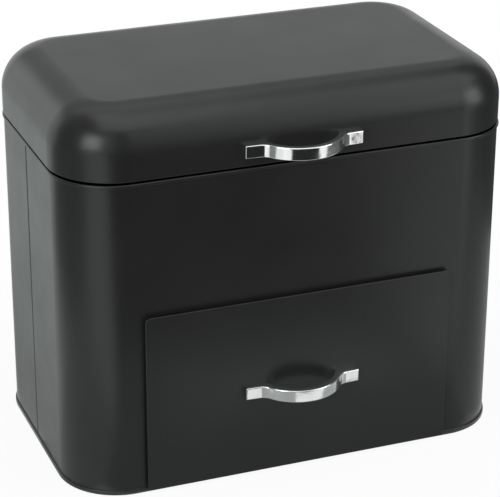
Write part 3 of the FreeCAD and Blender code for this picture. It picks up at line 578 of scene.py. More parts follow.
class Workpiece:
    """One mesh shaped by hand-tool operators on parts that are picked by their place."""

    def __init__(self, name: str) -> None:
        """Take the primitive that was just added.

        Args:
            name: The name that it gets.
        """
        self.obj = bpy.context.active_object
        self.obj.name = name
        self.obj.data.name = name
        bpy.ops.object.transform_apply(location=True, rotation=True, scale=True)

    @classmethod
    def block(cls, name: str, low: Vector, high: Vector) -> Workpiece:
        """Start from a block.

        Args:
            name: Its name.
            low: Its lowest corner.
            high: Its highest corner.

        Returns:
            The piece.
        """
        bpy.ops.object.select_all(action="DESELECT")
        bpy.ops.mesh.primitive_cube_add(size=1.0, location=(low + high) / 2, scale=high - low)
        return cls(name)

    def activate(self) -> None:
        """Make this the only selected object."""
        bpy.ops.object.select_all(action="DESELECT")
        self.obj.select_set(True)
        bpy.context.view_layer.objects.active = self.obj

    def pick(self, kind: str, test: Test) -> None:
        """Go into edit mode with only some elements selected.

        Args:
            kind: VERT, EDGE or FACE.
            test: Tells whether an element is picked.
        """
        self.activate()
        bpy.ops.object.mode_set(mode="EDIT")
        bpy.ops.mesh.select_mode(type=kind)
        bpy.ops.mesh.select_all(action="DESELECT")
        mesh = bmesh.from_edit_mesh(self.obj.data)
        elements = {"VERT": mesh.verts, "EDGE": mesh.edges, "FACE": mesh.faces}[kind]
        picked = [element for element in elements if test(element)]
        if not picked:
            raise ValueError(f"{self.obj.name}: nothing was picked")
        for element in picked:
            element.select_set(True)
        mesh.select_flush_mode()
        bmesh.update_edit_mesh(self.obj.data)

    def leave(self) -> None:
        """Go back to object mode."""
        bpy.ops.object.mode_set(mode="OBJECT")

    def work(self, kind: str, test: Test, tool: Callable[..., Any], **settings: Any) -> None:
        """Use one operator on some elements.

        Args:
            kind: VERT, EDGE or FACE.
            test: Tells whether an element is picked.
            tool: The operator.
            settings: Its settings.
        """
        self.pick(kind, test)
        tool(**settings)
        self.leave()

    def bevel(self, test: Test, width: float, segments: int) -> None:
        """Round the picked edges."""
        shape = {"offset": width, "segments": segments, "profile": 0.5, "clamp_overlap": False}
        self.work("EDGE", test, bpy.ops.mesh.bevel, affect="EDGES", **shape)

    def swell(self, test: Test, distance: float) -> None:
        """Extrude the picked faces along their normals, outwards where positive."""
        fatten = {"TRANSFORM_OT_shrink_fatten": {"value": distance, "use_even_offset": True}}
        self.work("FACE", test, bpy.ops.mesh.extrude_region_shrink_fatten, **fatten)

    def extrude(self, test: Test, shift: Triple) -> None:
        """Extrude the picked faces by a vector."""
        settings = {"TRANSFORM_OT_translate": {"value": shift}}
        self.work("FACE", test, bpy.ops.mesh.extrude_region_move, **settings)

    def move(self, test: Test, shift: Triple) -> None:
        """Move the picked corners by a vector."""
        self.work("VERT", test, bpy.ops.transform.translate, value=shift)

    def delete_faces(self, test: Test) -> None:
        """Delete the picked faces and leave their edges."""
        self.work("FACE", test, bpy.ops.mesh.delete, type="ONLY_FACE")

    def slice(self, axis: int, level: float, drop: int = 0) -> None:
        """Cut across the whole piece at one level of an axis.

        Args:
            axis: 0, 1 or 2 for x, y or z.
            level: Where the cut goes.
            drop: 1 or -1 to remove what lies above or below, and close the cut.
        """
        normal = [float(index == axis) for index in range(3)]
        plane = {"plane_co": [level * part for part in normal], "plane_no": normal}
        sides = {"use_fill": drop != 0, "clear_outer": drop > 0, "clear_inner": drop < 0}
        self.work("FACE", anything, bpy.ops.mesh.bisect, threshold=HAIR, **plane, **sides)

    def modify(self, kind: str, **settings: Any) -> None:
        """Add a modifier and apply it.

        Args:
            kind: Its type.
            settings: Its settings.
        """
        self.activate()
        modifier = self.obj.modifiers.new(kind.lower(), kind)
        for name, setting in settings.items():
            setattr(modifier, name, setting)
        bpy.ops.object.modifier_apply(modifier=modifier.name)

    def line_with_sheet(self, thickness: float) -> None:
        """Give an open surface a sheet's thickness, inwards."""
        self.modify("SOLIDIFY", thickness=thickness, offset=-1.0, use_even_offset=True)

    def cut_with(self, cutter: Workpiece) -> None:
        """Cut another piece out of this one and throw that one away."""
        self.modify("BOOLEAN", operation="DIFFERENCE", solver="EXACT", object=cutter.obj)
        bpy.data.objects.remove(cutter.obj)

    def drill(self, places: Iterable[Pair], wall: float, radius: float, depth: float) -> None:
        """Drill holes along y through a wall.

        Args:
            places: The (x, z) of each hole.
            wall: The y of the wall.
            radius: The radius of the holes.
            depth: How long the drill is, with the wall at its middle.
        """
        for x, z in places:
            bpy.ops.object.select_all(action="DESELECT")
            along_y = {"location": (x, wall, z), "rotation": (math.pi / 2, 0.0, 0.0)}
            bpy.ops.mesh.primitive_cylinder_add(
                vertices=DRILL_SIDES, radius=radius, depth=depth, **along_y
            )
            self.cut_with(Workpiece("drill"))

    def copy(self, name: str) -> Workpiece:
        """Copy this piece, with a mesh of its own.

        Args:
            name: The name of the copy.

        Returns:
            The copy.
        """
        self.activate()
        bpy.ops.object.duplicate()
        twin = bpy.context.active_object
        twin.data = twin.data.copy()
        return Workpiece(name)

    def smooth(self) -> None:
        """Shade the piece smooth over its soft edges."""
        self.activate()
        bpy.ops.object.shade_smooth_by_angle(angle=SMOOTH_ANGLE)
        self.modify("WEIGHTED_NORMAL", weight=100, keep_sharp=True)


# Sheet-metal pieces


@dataclass(frozen=True)
class Outline:
    """The plan of a wall: a rectangle with equal round corners."""

    half_width: float
    half_depth: float
    radius: float
    middle_y: float

    def offset(self, point: Vector) -> float:
        """Give how far a point lies outside the wall; it is negative inside.

        Args:
            point: The point.

        Returns:
            The distance.
        """
        along_x = abs(point.x) - (self.half_width - self.radius)
        along_y = abs(point.y - self.middle_y) - (self.half_depth - self.radius)
        beyond = math.hypot(max(along_x, 0.0), max(along_y, 0.0))
        return beyond + min(max(along_x, along_y), 0.0) - self.radius

    def has(self, vert: Any, level: float) -> bool:
        """Tell whether a corner lies at an offset from the wall."""
        return abs(self.offset(vert.co) - level) < WALL_SLACK

    def at(self, level: float) -> Test:
        """Make a test for elements whose corners all lie at one offset from the wall."""
        return lambda element: all(self.has(vert, level) for vert in element.verts)

    def ledge(self, level: float, width: float) -> Test:
        """Make a test for narrow faces that lie along an offset of the wall and look up."""
        return lambda face: (
            abs(self.offset(centre_of(face)) - level) < width and face.normal.z > SLOPED_FACE
        )


@dataclass(frozen=True)
class Sheetwork:
    """The finishes and the sizes that all the pieces share."""

    finishes: dict[Slot, bpy.types.Material]
    sheet: float = 0.8 * MM
    corner_steps: int = 28
    fold_steps: int = 4
    fine_steps: int = 2
    rivet_spacing: float = 22 * MM
    rivet_hole: float = 1.55 * MM
    screw_spacing: float = 67 * MM
    screw_hole: float = 2.05 * MM
    drill_depth: float = 6 * MM

    def hand_over(self, piece: Workpiece, body: Body, slot: Slot, *nodes: str) -> None:
        """Smooth and dress a finished piece, hang it on its body and hide the construction nodes
        that it stands for.

        Args:
            piece: The piece.
            body: The body that it rides on.
            slot: Its material slot.
            nodes: The construction nodes that it stands for.
        """
        piece.smooth()
        obj = piece.obj
        obj.data.materials.clear()
        obj.data.materials.append(self.finishes[slot])
        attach(obj, body.value)
        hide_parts(*nodes)
        LOG.info("%s: %d faces, rides on %s", obj.name, len(obj.data.polygons), body.value)

    def screw_places(self, handle_node: str) -> list[Pair]:
        """Give the (x, z) places of a handle's two screws."""
        low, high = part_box(handle_node)
        return [(side.value * self.screw_spacing / 2, (low.z + high.z) / 2) for side in Side]

    def rivet_places(self, owner: str) -> list[Pair]:
        """Give the (x, z) places of the rivets that hold the hinge leaves.

        Args:
            owner: What the leaves are on, "lid" or "body" as in the nodes' names.

        Returns:
            The places.
        """
        low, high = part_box(f"{owner}_hinge_rivets")
        level = (low.z + high.z) / 2
        places = []
        for leaf in Side:
            leaf_low, leaf_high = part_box(f"{owner}_hinge_leaf_{leaf.name.lower()}")
            middle = (leaf_low.x + leaf_high.x) / 2
            places += [(middle + side.value * self.rivet_spacing / 2, level) for side in Side]
        return places


@dataclass(frozen=True)
class LidCover(Sheetwork):
    """The deep-drawn lid with a hem folded in round its lower edge."""

    corner_radius: float = 45 * MM
    edge_radius: float = 29.2 * MM
    edge_steps: int = 18
    hem_height: float = 6 * MM
    hem_thickness: float = 1.8 * MM
    hem_rounding: float = 0.7 * MM
    flap_rounding: float = 0.2 * MM
    slit_width: float = 0.2 * MM
    slit_depth: float = 3 * MM
    hem_lift: float = 0.4 * MM

    def build(self) -> None:
        """Model and dress the lid."""
        low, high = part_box("lid_shell")
        low.z += self.hem_lift
        lid = Workpiece.block("lid_cover", low, high)
        lid.bevel(runs_along(2), self.corner_radius, self.corner_steps)
        lid.bevel(lies_at(2, high.z), self.edge_radius, self.edge_steps)
        lid.delete_faces(lies_at(2, low.z))
        lid.line_with_sheet(self.sheet)
        self.fold_hem(lid, low, high)
        lid.drill(self.screw_places("lid_handle"), low.y, self.screw_hole, self.drill_depth)
        lid.drill(self.rivet_places("lid"), high.y, self.rivet_hole, self.drill_depth)
        self.hand_over(lid, Body.LID, Slot.COAT, "lid_shell")

    def fold_hem(self, lid: Workpiece, low: Vector, high: Vector) -> None:
        """Fold the lower edge in, with the slit of the fold open at its top.

        Args:
            lid: The lid, still a plain shell.
            low: The lowest corner of its box.
            high: The highest corner of its box.
        """
        outline = Outline(high.x, (high.y - low.y) / 2, self.corner_radius, (high.y + low.y) / 2)
        hem_top = low.z + self.hem_height
        lid.slice(2, hem_top)
        inner_wall = both(outline.at(-self.sheet), between(2, low.z, hem_top))
        lid.swell(inner_wall, self.hem_thickness - self.sheet)
        flap = outline.at(-self.hem_thickness)
        slit = 0.5 * self.slit_width
        lid.bevel(both(lies_at(2, low.z), outline.at(0.0)), self.hem_rounding, self.fold_steps)
        lid.bevel(both(lies_at(2, low.z), flap), self.hem_rounding, self.fold_steps)
        lid.bevel(both(lies_at(2, hem_top), outline.at(-self.sheet)), slit, 1)
        fold = both(between(2, hem_top - slit, hem_top + slit), outline.ledge(-self.sheet, slit))
        lid.extrude(fold, (0.0, 0.0, -self.slit_depth))
        lid.bevel(both(lies_at(2, hem_top), flap), self.flap_rounding, self.fine_steps)


@dataclass(frozen=True)
class BodyShells(Sheetwork):
    """The body's front and back sheets, rolled into beads and meeting at the side seams."""

    corner_radius: float = 42 * MM
    foot_bead_height: float = 3.6 * MM
    rim_bead_height: float = 2.2 * MM
    bead_projection: float = 1.0 * MM
    bead_rounding: float = 0.9 * MM
    bead_lip_rounding: float = 0.6 * MM
    bead_root_rounding: float = 0.3 * MM
    rim_inner_rounding: float = 0.4 * MM
    rim_relief: float = 0.3 * MM
    rim_slope: float = 0.9 * MM
    seam_flange: float = 6 * MM
    seam_fold: float = 1.6 * MM
    seam_rounding: float = 1.5 * MM
    opening_side_clearance: float = 1.0 * MM
    opening_sill_clearance: float = 0.9 * MM
    opening_top: float = 126.5 * MM
    opening_corner: float = 1.5 * MM
    vent_radius: float = 2.5 * MM
    vent_pitch: float = 14 * MM
    vent_columns: int = 8
    vent_rows: int = 2
    vent_drop: float = 27.3 * MM

    def build(self) -> None:
        """Model and dress both sheets."""
        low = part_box("body_front_shell")[0]
        seam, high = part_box("body_back_shell")[0].y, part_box("body_back_shell")[1]
        proud = self.bead_projection
        half_depth = (high.y - low.y) / 2 - proud
        high.z -= self.rim_relief
        outline = Outline(high.x - proud, half_depth, self.corner_radius, (high.y + low.y) / 2)
        lips = (low.z + self.foot_bead_height, high.z - self.rim_bead_height)
        back = self.make_ring(outline, (low.z, high.z), lips)
        front = back.copy("body_front")
        back.obj.name = "body_back"
        self.turn_seam(front, outline, seam, -1, lips)
        self.turn_seam(back, outline, seam, 1, lips)
        self.cut_opening(front, low.y + proud)
        self.drill_back(back, high)
        self.hand_over(front, Body.BOX, Slot.COAT, "body_front_shell")
        self.hand_over(back, Body.BOX, Slot.COAT, "body_back_shell")

    def make_ring(self, outline: Outline, ends: Pair, lips: Pair) -> Workpiece:
        """Make the closed wall with its two rolled beads.

        Args:
            outline: The plan of the wall.
            ends: The z of its lower and upper end.
            lips: The z at which the foot bead ends and the rim bead starts.

        Returns:
            The wall.
        """
        bottom, top = ends
        low = Vector((-outline.half_width, outline.middle_y - outline.half_depth, bottom))
        high = Vector((outline.half_width, outline.middle_y + outline.half_depth, top))
        ring = Workpiece.block("body_ring", low, high)
        ring.bevel(runs_along(2), self.corner_radius, self.corner_steps)
        ring.delete_faces(lambda face: abs(face.normal.z) > LEVEL_FACE)
        ring.line_with_sheet(self.sheet)
        for level in lips:
            ring.slice(2, level)
        outer = outline.at(0.0)
        crown = outline.at(self.bead_projection)
        inner = outline.at(-self.sheet)
        plain = between(2, *lips)
        ring.swell(lambda face: outer(face) and not plain(face), self.bead_projection)

        def on_inner_rim(vert: Any) -> bool:
            """Tell whether a corner lies on the inner edge of the upper rim."""
            return abs(vert.co.z - top) < TOUCH and outline.has(vert, -self.sheet)

        ring.move(on_inner_rim, (0.0, 0.0, -self.rim_slope))
        for level, rim in ((bottom, bottom), (top, top - self.rim_slope)):
            ring.bevel(both(lies_at(2, level), crown), self.bead_rounding, self.fold_steps)
            ring.bevel(both(lies_at(2, rim), inner), self.rim_inner_rounding, self.fine_steps)
        for level in lips:
            lip = lies_at(2, level)
            ring.bevel(both(lip, crown), self.bead_lip_rounding, self.fold_steps)
            ring.bevel(both(lip, outer), self.bead_root_rounding, self.fine_steps)
        return ring

    def turn_seam(
        self, shell: Workpiece, outline: Outline, seam: float, kept: int, lips: Pair
    ) -> None:
        """Keep one side of the seams and turn the sheet's ends inwards.

        Args:
            shell: The piece, still the whole ring.
            outline: The plan of the wall.
            seam: The y of the seams.
            kept: -1 to keep the front, 1 to keep the back.
            lips: The z at which the foot bead ends and the rim bead starts.
        """
        shell.slice(1, seam, drop=-kept)
        fold = seam + kept * self.seam_fold
        shell.slice(1, fold)
        shell.slice(2, lips[0] + self.bead_root_rounding)
        shell.slice(2, lips[1] - self.bead_root_rounding)
        plain = between(2, *lips)
        turned = both(outline.at(-self.sheet), between(1, *sorted((seam, fold))), plain)
        shell.swell(turned, self.seam_flange)
        edge = both(runs_along(2), lies_at(1, seam), outline.at(0.0), plain)
        shell.bevel(edge, self.seam_rounding, self.fold_steps)

    def cut_opening(self, shell: Workpiece, wall: float) -> None:
        """Cut the opening for the drawer.

        Args:
            shell: The front sheet.
            wall: The y of its front.
        """
        tray_low, tray_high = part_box("drawer_tray")
        half_width = tray_high.x + self.opening_side_clearance
        sill = tray_low.z - self.opening_sill_clearance
        low = Vector((-half_width, wall - self.drill_depth, sill))
        high = Vector((half_width, wall + self.drill_depth, self.opening_top))
        cutter = Workpiece.block("opening", low, high)
        cutter.bevel(runs_along(1), self.opening_corner, self.fold_steps)
        shell.cut_with(cutter)

    def drill_back(self, shell: Workpiece, high: Vector) -> None:
        """Punch the air holes and the hinges' rivet holes.

        Args:
            shell: The back sheet.
            high: The highest corner of its box.
        """
        wall = high.y - self.bead_projection
        middle = (self.vent_columns - 1) / 2
        vents = [
            ((column - middle) * self.vent_pitch, high.z - self.vent_drop - row * self.vent_pitch)
            for row in range(self.vent_rows)
            for column in range(self.vent_columns)
        ]
        shell.drill(vents, wall, self.vent_radius, self.drill_depth)
        shell.drill(self.rivet_places("body"), wall, self.rivet_hole, self.drill_depth)


@dataclass(frozen=True)
class DrawerFront(Sheetwork):
    """The flat overlay front of the drawer."""

    top_radius: float = 3.4 * MM
    top_steps: int = 8
    bottom_radius: float = 1.5 * MM
    face_rounding: float = 0.5 * MM
    face_steps: int = 3

    def build(self) -> None:
        """Model and dress the drawer's front."""
        low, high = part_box("drawer_front_panel")
        panel = Workpiece.block("drawer_front", low, high)
        middle = (low.z + high.z) / 2
        top = both(runs_along(1), between(2, middle, high.z + MM))
        bottom = both(runs_along(1), between(2, low.z - MM, low.z + TOUCH))
        panel.bevel(top, self.top_radius, self.top_steps)
        panel.bevel(bottom, self.bottom_radius, self.fold_steps)
        panel.bevel(lies_at(1, low.y), self.face_rounding, self.face_steps)
        panel.drill(self.screw_places("drawer_handle"), low.y, self.screw_hole, self.drill_depth)
        self.hand_over(panel, Body.DRAWER, Slot.COAT, "drawer_front_panel")


@dataclass(frozen=True)
class DrawerTray(Sheetwork):
    """The folded tray of the drawer, with a hemmed rim and two ears that stop it."""

    corner_radius: float = 2 * MM
    corner_steps: int = 5
    bottom_rounding: float = 1.2 * MM
    rim_level: float = 120.4 * MM
    hem_height: float = 5 * MM
    hem_thickness: float = 1.6 * MM
    ear_width: float = 14 * MM
    ear_setback: float = 34.5 * MM
    ear_rounding: float = 3 * MM
    ear_steps: int = 6

    def build(self) -> None:
        """Model and dress the tray."""
        low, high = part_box("drawer_tray")
        rim = Vector((high.x, high.y, self.rim_level))
        tray = Workpiece.block("drawer_tray_pressing", low, rim)
        tray.bevel(runs_along(2), self.corner_radius, self.corner_steps)
        tray.bevel(lies_at(2, low.z), self.bottom_rounding, self.fold_steps)
        tray.delete_faces(lies_at(2, self.rim_level))
        tray.line_with_sheet(self.sheet)
        hem_bottom = self.rim_level - self.hem_height
        tray.slice(2, hem_bottom)
        middle = Vector((0.0, (low.y + high.y) / 2, 0.0))

        def looks_in(face: Any) -> bool:
            """Tell whether a face of a wall looks into the tray."""
            inwards = middle - centre_of(face)
            return abs(face.normal.z) < UPRIGHT_FACE and face.normal.dot(inwards) > 0

        hem = both(looks_in, between(2, hem_bottom, self.rim_level))
        tray.swell(hem, self.hem_thickness - self.sheet)
        self.raise_ears(tray, high)
        tray.drill(self.screw_places("drawer_handle"), low.y, self.screw_hole, self.drill_depth)
        self.hand_over(tray, Body.DRAWER, Slot.INNER, "drawer_tray")

    def raise_ears(self, tray: Workpiece, high: Vector) -> None:
        """Raise the two ears from the side rims and round their upper corners.

        Args:
            tray: The tray.
            high: The highest corner of its box, ears included.
        """
        back = high.y - self.ear_setback
        front = back - self.ear_width
        for level in (front, back):
            tray.slice(1, level)
        sheet_only = 0.75 * self.hem_thickness

        def under_ear(face: Any) -> bool:
            """Tell whether a face looks up from where an ear stands."""
            middle = centre_of(face)
            on_side = high.x - abs(middle.x) < sheet_only
            return face.normal.z > LEVEL_FACE and front < middle.y < back and on_side

        on_rim = both(lies_at(2, self.rim_level), under_ear)
        tray.extrude(on_rim, (0.0, 0.0, high.z - self.rim_level))
        tray.bevel(both(runs_along(0), lies_at(2, high.z)), self.ear_rounding, self.ear_steps)


# Handles


@dataclass(frozen=True)
class BowPlan:
    """Where a bow handle's parts lie, seen from above."""

    low: Vector
    high: Vector
    turn: float
    centre_y: float
    crease_x: float
    crease_y: float


@dataclass(frozen=True)
class BowHandle(Sheetwork):
    """A cast strap handle: two flat feet with a shallow bow sprung between them."""

    node: str = "lid_handle"
    body: Body = Body.LID
    bow_radius: float = 32.2 * MM
    bow_steps: int = 24
    thickness: float = 4.5 * MM
    foot_thickness: float = 5.5 * MM
    foot_end_thickness: float = 4.8 * MM
    crease_rounding: float = 4.2 * MM
    crease_steps: int = 8
    crease_run: float = 4.8 * MM
    face_bevel: float = 0.8 * MM
    back_rounding: float = 0.35 * MM
    short_edge: float = 0.9 * MM
    sharp_angle: float = 1.0
    hole_depth: float = 3.7 * MM

    def build(self) -> None:
        """Model and dress the handle."""
        plan = self.draw_plan()
        handle = self.spring_bow(plan)
        self.add_foot(handle, plan)
        self.mirror_half(handle)
        self.soften(handle, plan)
        screws = self.screw_places(self.node)
        handle.drill(screws, plan.high.y, self.screw_hole, 2 * self.hole_depth)
        self.hand_over(handle, self.body, Slot.CHROME, self.node)

    def draw_plan(self) -> BowPlan:
        """Work out where the parts lie from the construction handle's box.

        Returns:
            The plan.
        """
        low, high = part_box(self.node)
        reach = high.y - low.y
        turn = math.acos((self.bow_radius - reach + self.foot_thickness) / self.bow_radius)
        crease_x = self.bow_radius * math.sin(turn)
        crease_y = high.y - self.foot_thickness
        return BowPlan(low, high, turn, low.y + self.bow_radius, crease_x, crease_y)

    def spring_bow(self, plan: BowPlan) -> Workpiece:
        """Sweep the strap's section from the middle of the bow to its crease.

        Args:
            plan: Where the parts lie.

        Returns:
            Half of the bow.
        """
        middle_z = (plan.low.z + plan.high.z) / 2
        bpy.ops.object.select_all(action="DESELECT")
        bpy.ops.mesh.primitive_plane_add(
            size=1.0,
            location=(0.0, plan.low.y + self.thickness / 2, middle_z),
            rotation=(0.0, math.pi / 2, 0.0),
        )
        bpy.context.active_object.scale = (plan.high.z - plan.low.z, self.thickness, 1.0)
        handle = Workpiece(f"{self.node}_casting")
        handle.pick("FACE", anything)
        centre = (0.0, plan.centre_y, middle_z)
        last = self.crease_run / self.bow_radius
        for steps, angle in ((self.bow_steps, plan.turn - last), (1, last)):
            bpy.ops.mesh.spin(steps=steps, angle=angle, center=centre, axis=(0.0, 0.0, -1.0))
        handle.leave()
        return handle

    def add_foot(self, handle: Workpiece, plan: BowPlan) -> None:
        """Run the bow's end down to the mounting face and out along the foot.

        Args:
            handle: Half of the bow.
            plan: Where the parts lie.
        """
        high = plan.high
        inner = self.bow_radius - self.thickness
        crease = stands_at(plan.crease_x, plan.crease_y)
        end = (inner * math.sin(plan.turn), plan.centre_y - inner * math.cos(plan.turn))
        root_x = math.sqrt(inner**2 - (plan.centre_y - high.y) ** 2)
        root = stands_at(root_x, high.y)
        handle.move(stands_at(*end), (root_x - end[0], high.y - end[1], 0.0))
        handle.extrude(
            lambda face: all(crease(vert) or root(vert) for vert in face.verts),
            (high.x - plan.crease_x, 0.0, 0.0),
        )
        end_x = root_x + high.x - plan.crease_x
        handle.move(stands_at(end_x, high.y), (high.x - end_x, 0.0, 0.0))
        slope = self.foot_thickness - self.foot_end_thickness
        handle.move(stands_at(high.x, plan.crease_y), (0.0, slope, 0.0))

    @staticmethod
    def mirror_half(handle: Workpiece) -> None:
        """Open the half handle at the middle and mirror it.

        Args:
            handle: The half handle.
        """
        handle.delete_faces(lies_at(0, 0.0))
        handle.pick("VERT", anything)
        bpy.ops.mesh.remove_doubles(threshold=HAIR)
        bpy.ops.mesh.normals_make_consistent(inside=False)
        handle.leave()
        handle.modify("MIRROR", use_clip=True, merge_threshold=TOUCH)

    def soften(self, handle: Workpiece, plan: BowPlan) -> None:
        """Round the creases, then the edges of the front and of the back.

        Args:
            handle: The whole handle.
            plan: Where the parts lie.
        """
        low, high = plan.low, plan.high
        crease = stands_at(plan.crease_x, plan.crease_y)

        def is_crease(edge: Any) -> bool:
            """Tell whether an edge runs down a crease."""
            return all(crease(vert) for vert in edge.verts)

        def on_front(edge: Any) -> bool:
            """Tell whether an edge bounds the front of the strap."""
            middle = centre_of(edge)
            if abs(middle.x) > plan.crease_x - self.crease_rounding:
                return middle.y < high.y - self.foot_end_thickness + TOUCH
            from_centre = math.hypot(middle.x, middle.y - plan.centre_y)
            return from_centre > self.bow_radius - self.thickness / 2

        def bounds_strap(edge: Any) -> bool:
            """Tell whether an edge is a sharp one round the strap."""
            at_end = both(runs_along(2), lies_at(0, math.copysign(high.x, centre_of(edge).x)))
            broad = any(lies_at(2, level)(edge) for level in (low.z, high.z))
            return (broad or at_end(edge)) and edge.calc_face_angle() > self.sharp_angle

        def on_back(edge: Any) -> bool:
            """Tell whether a long edge bounds the back of the strap."""
            return not on_front(edge) and edge.calc_length() > self.short_edge

        handle.bevel(both(runs_along(2), is_crease), self.crease_rounding, self.crease_steps)
        handle.bevel(both(bounds_strap, on_front), self.face_bevel, self.fold_steps)
        handle.bevel(both(bounds_strap, on_back), self.back_rounding, self.fine_steps)


# Studio


@dataclass(frozen=True)
class Softbox:
    """A rectangular area lamp that faces a point."""

    name: str
    place: Triple
    width: float
    height: float
    power: float
    target: Triple = (0.0, 0.0, 0.12)

    def build(self) -> None:
        """Hang the lamp."""
        lamp = bpy.data.lights.new(self.name, "AREA")
        lamp.shape = "RECTANGLE"
        lamp.size = self.width
        lamp.size_y = self.height
        lamp.energy = self.power
        holder = bpy.data.objects.new(self.name, lamp)
        bpy.context.scene.collection.objects.link(holder)
        holder.location = self.place
        aim = Vector(self.target) - Vector(self.place)
        holder.rotation_euler = aim.to_track_quat("-Z", "Y").to_euler()


def level(height: float, *places: Pair) -> tuple[Triple, ...]:
    """Give the corners of a level card from their places in plan."""
    return tuple((x, y, height) for x, y in places)


def upright(start: Pair, end: Pair, low: float, high: float) -> tuple[Triple, ...]:
    """Give the corners of an upright card from its ends in plan and its two heights."""
    return ((*start, low), (*end, low), (*end, high), (*start, high))


@dataclass(frozen=True)
class PaintedReflectionCard:
    """A glowing card, from nearly black to brighter than white, that only reflections see: a
    painted reflection that lights nothing.
    """

    name: str
    tone: float
    corners: tuple[Triple, ...]
    tint: Triple = (0.94, 1.0, 0.985)

    def build(self) -> None:
        """Put the card in its place."""
        mesh = bpy.data.meshes.new(self.name)
        mesh.from_pydata(self.corners, [], [range(len(self.corners))])
        card = bpy.data.objects.new(self.name, mesh)
        bpy.context.scene.collection.objects.link(card)
        material = bpy.data.materials.new(self.name)
        material.use_nodes = True
        graph = Graph(material.node_tree)
        graph.tree.nodes.remove(graph.tree.nodes["Principled BSDF"])
        glow = graph.add("Emission", {"Color": opaque(self.tint), "Strength": self.tone})
        graph.supply(graph.tree.nodes["Material Output"], {"Surface": glow.outputs[0]})
        mesh.materials.append(material)
        # Hidden from all but reflections, so the card paints reflections and highlights and
        # lights nothing.
        for kind in ("camera", "diffuse", "transmission", "volume_scatter", "shadow"):
            setattr(card, f"visible_{kind}", False)


SOFTBOXES = (
    Softbox("overhead_softbox", (-0.1, -0.4, 1.3), 1.0, 0.85, 3.8),
    Softbox("left_softbox", (-1.22, -0.95, 0.70), 0.7, 0.8, 7.6),
    Softbox("right_softbox", (1.15, -0.97, 0.60), 0.75, 0.8, 4.8),
)

FLOOR = 0.002
OVER_FLOOR = 0.003
CEILING = 1.5

# Corners in plan that several cards share.
CORNER_LEFT, CORNER_RIGHT = (-0.15, -0.09), (0.15, -0.09)
SILL_LEFT, SILL_RIGHT = (-0.17, -0.185), (0.155, -0.185)
APRON_LEFT, APRON_RIGHT = (-0.19, -0.31), (0.18, -0.31)
INNER = ((-0.3, 0.055), (-0.31, -0.13), (-0.27, -0.2))
OUTER = ((-0.4, 0.08), (-0.43, -0.09), (-0.45, -0.22))
LEFT = ((-0.49, -0.25), (-0.62, -0.32), (-2.8, -1.3))
LEFT_BACK = (-0.4, 0.3)
RIGHT = ((0.47, -0.46), (0.55, -0.22), (0.47, 0.06), (0.36, 0.2))
WALL = ((-0.8, -2.65), (0.66, -2.5), (1.04, -2.46), (1.6, -2.4), (2.4, -1.0))

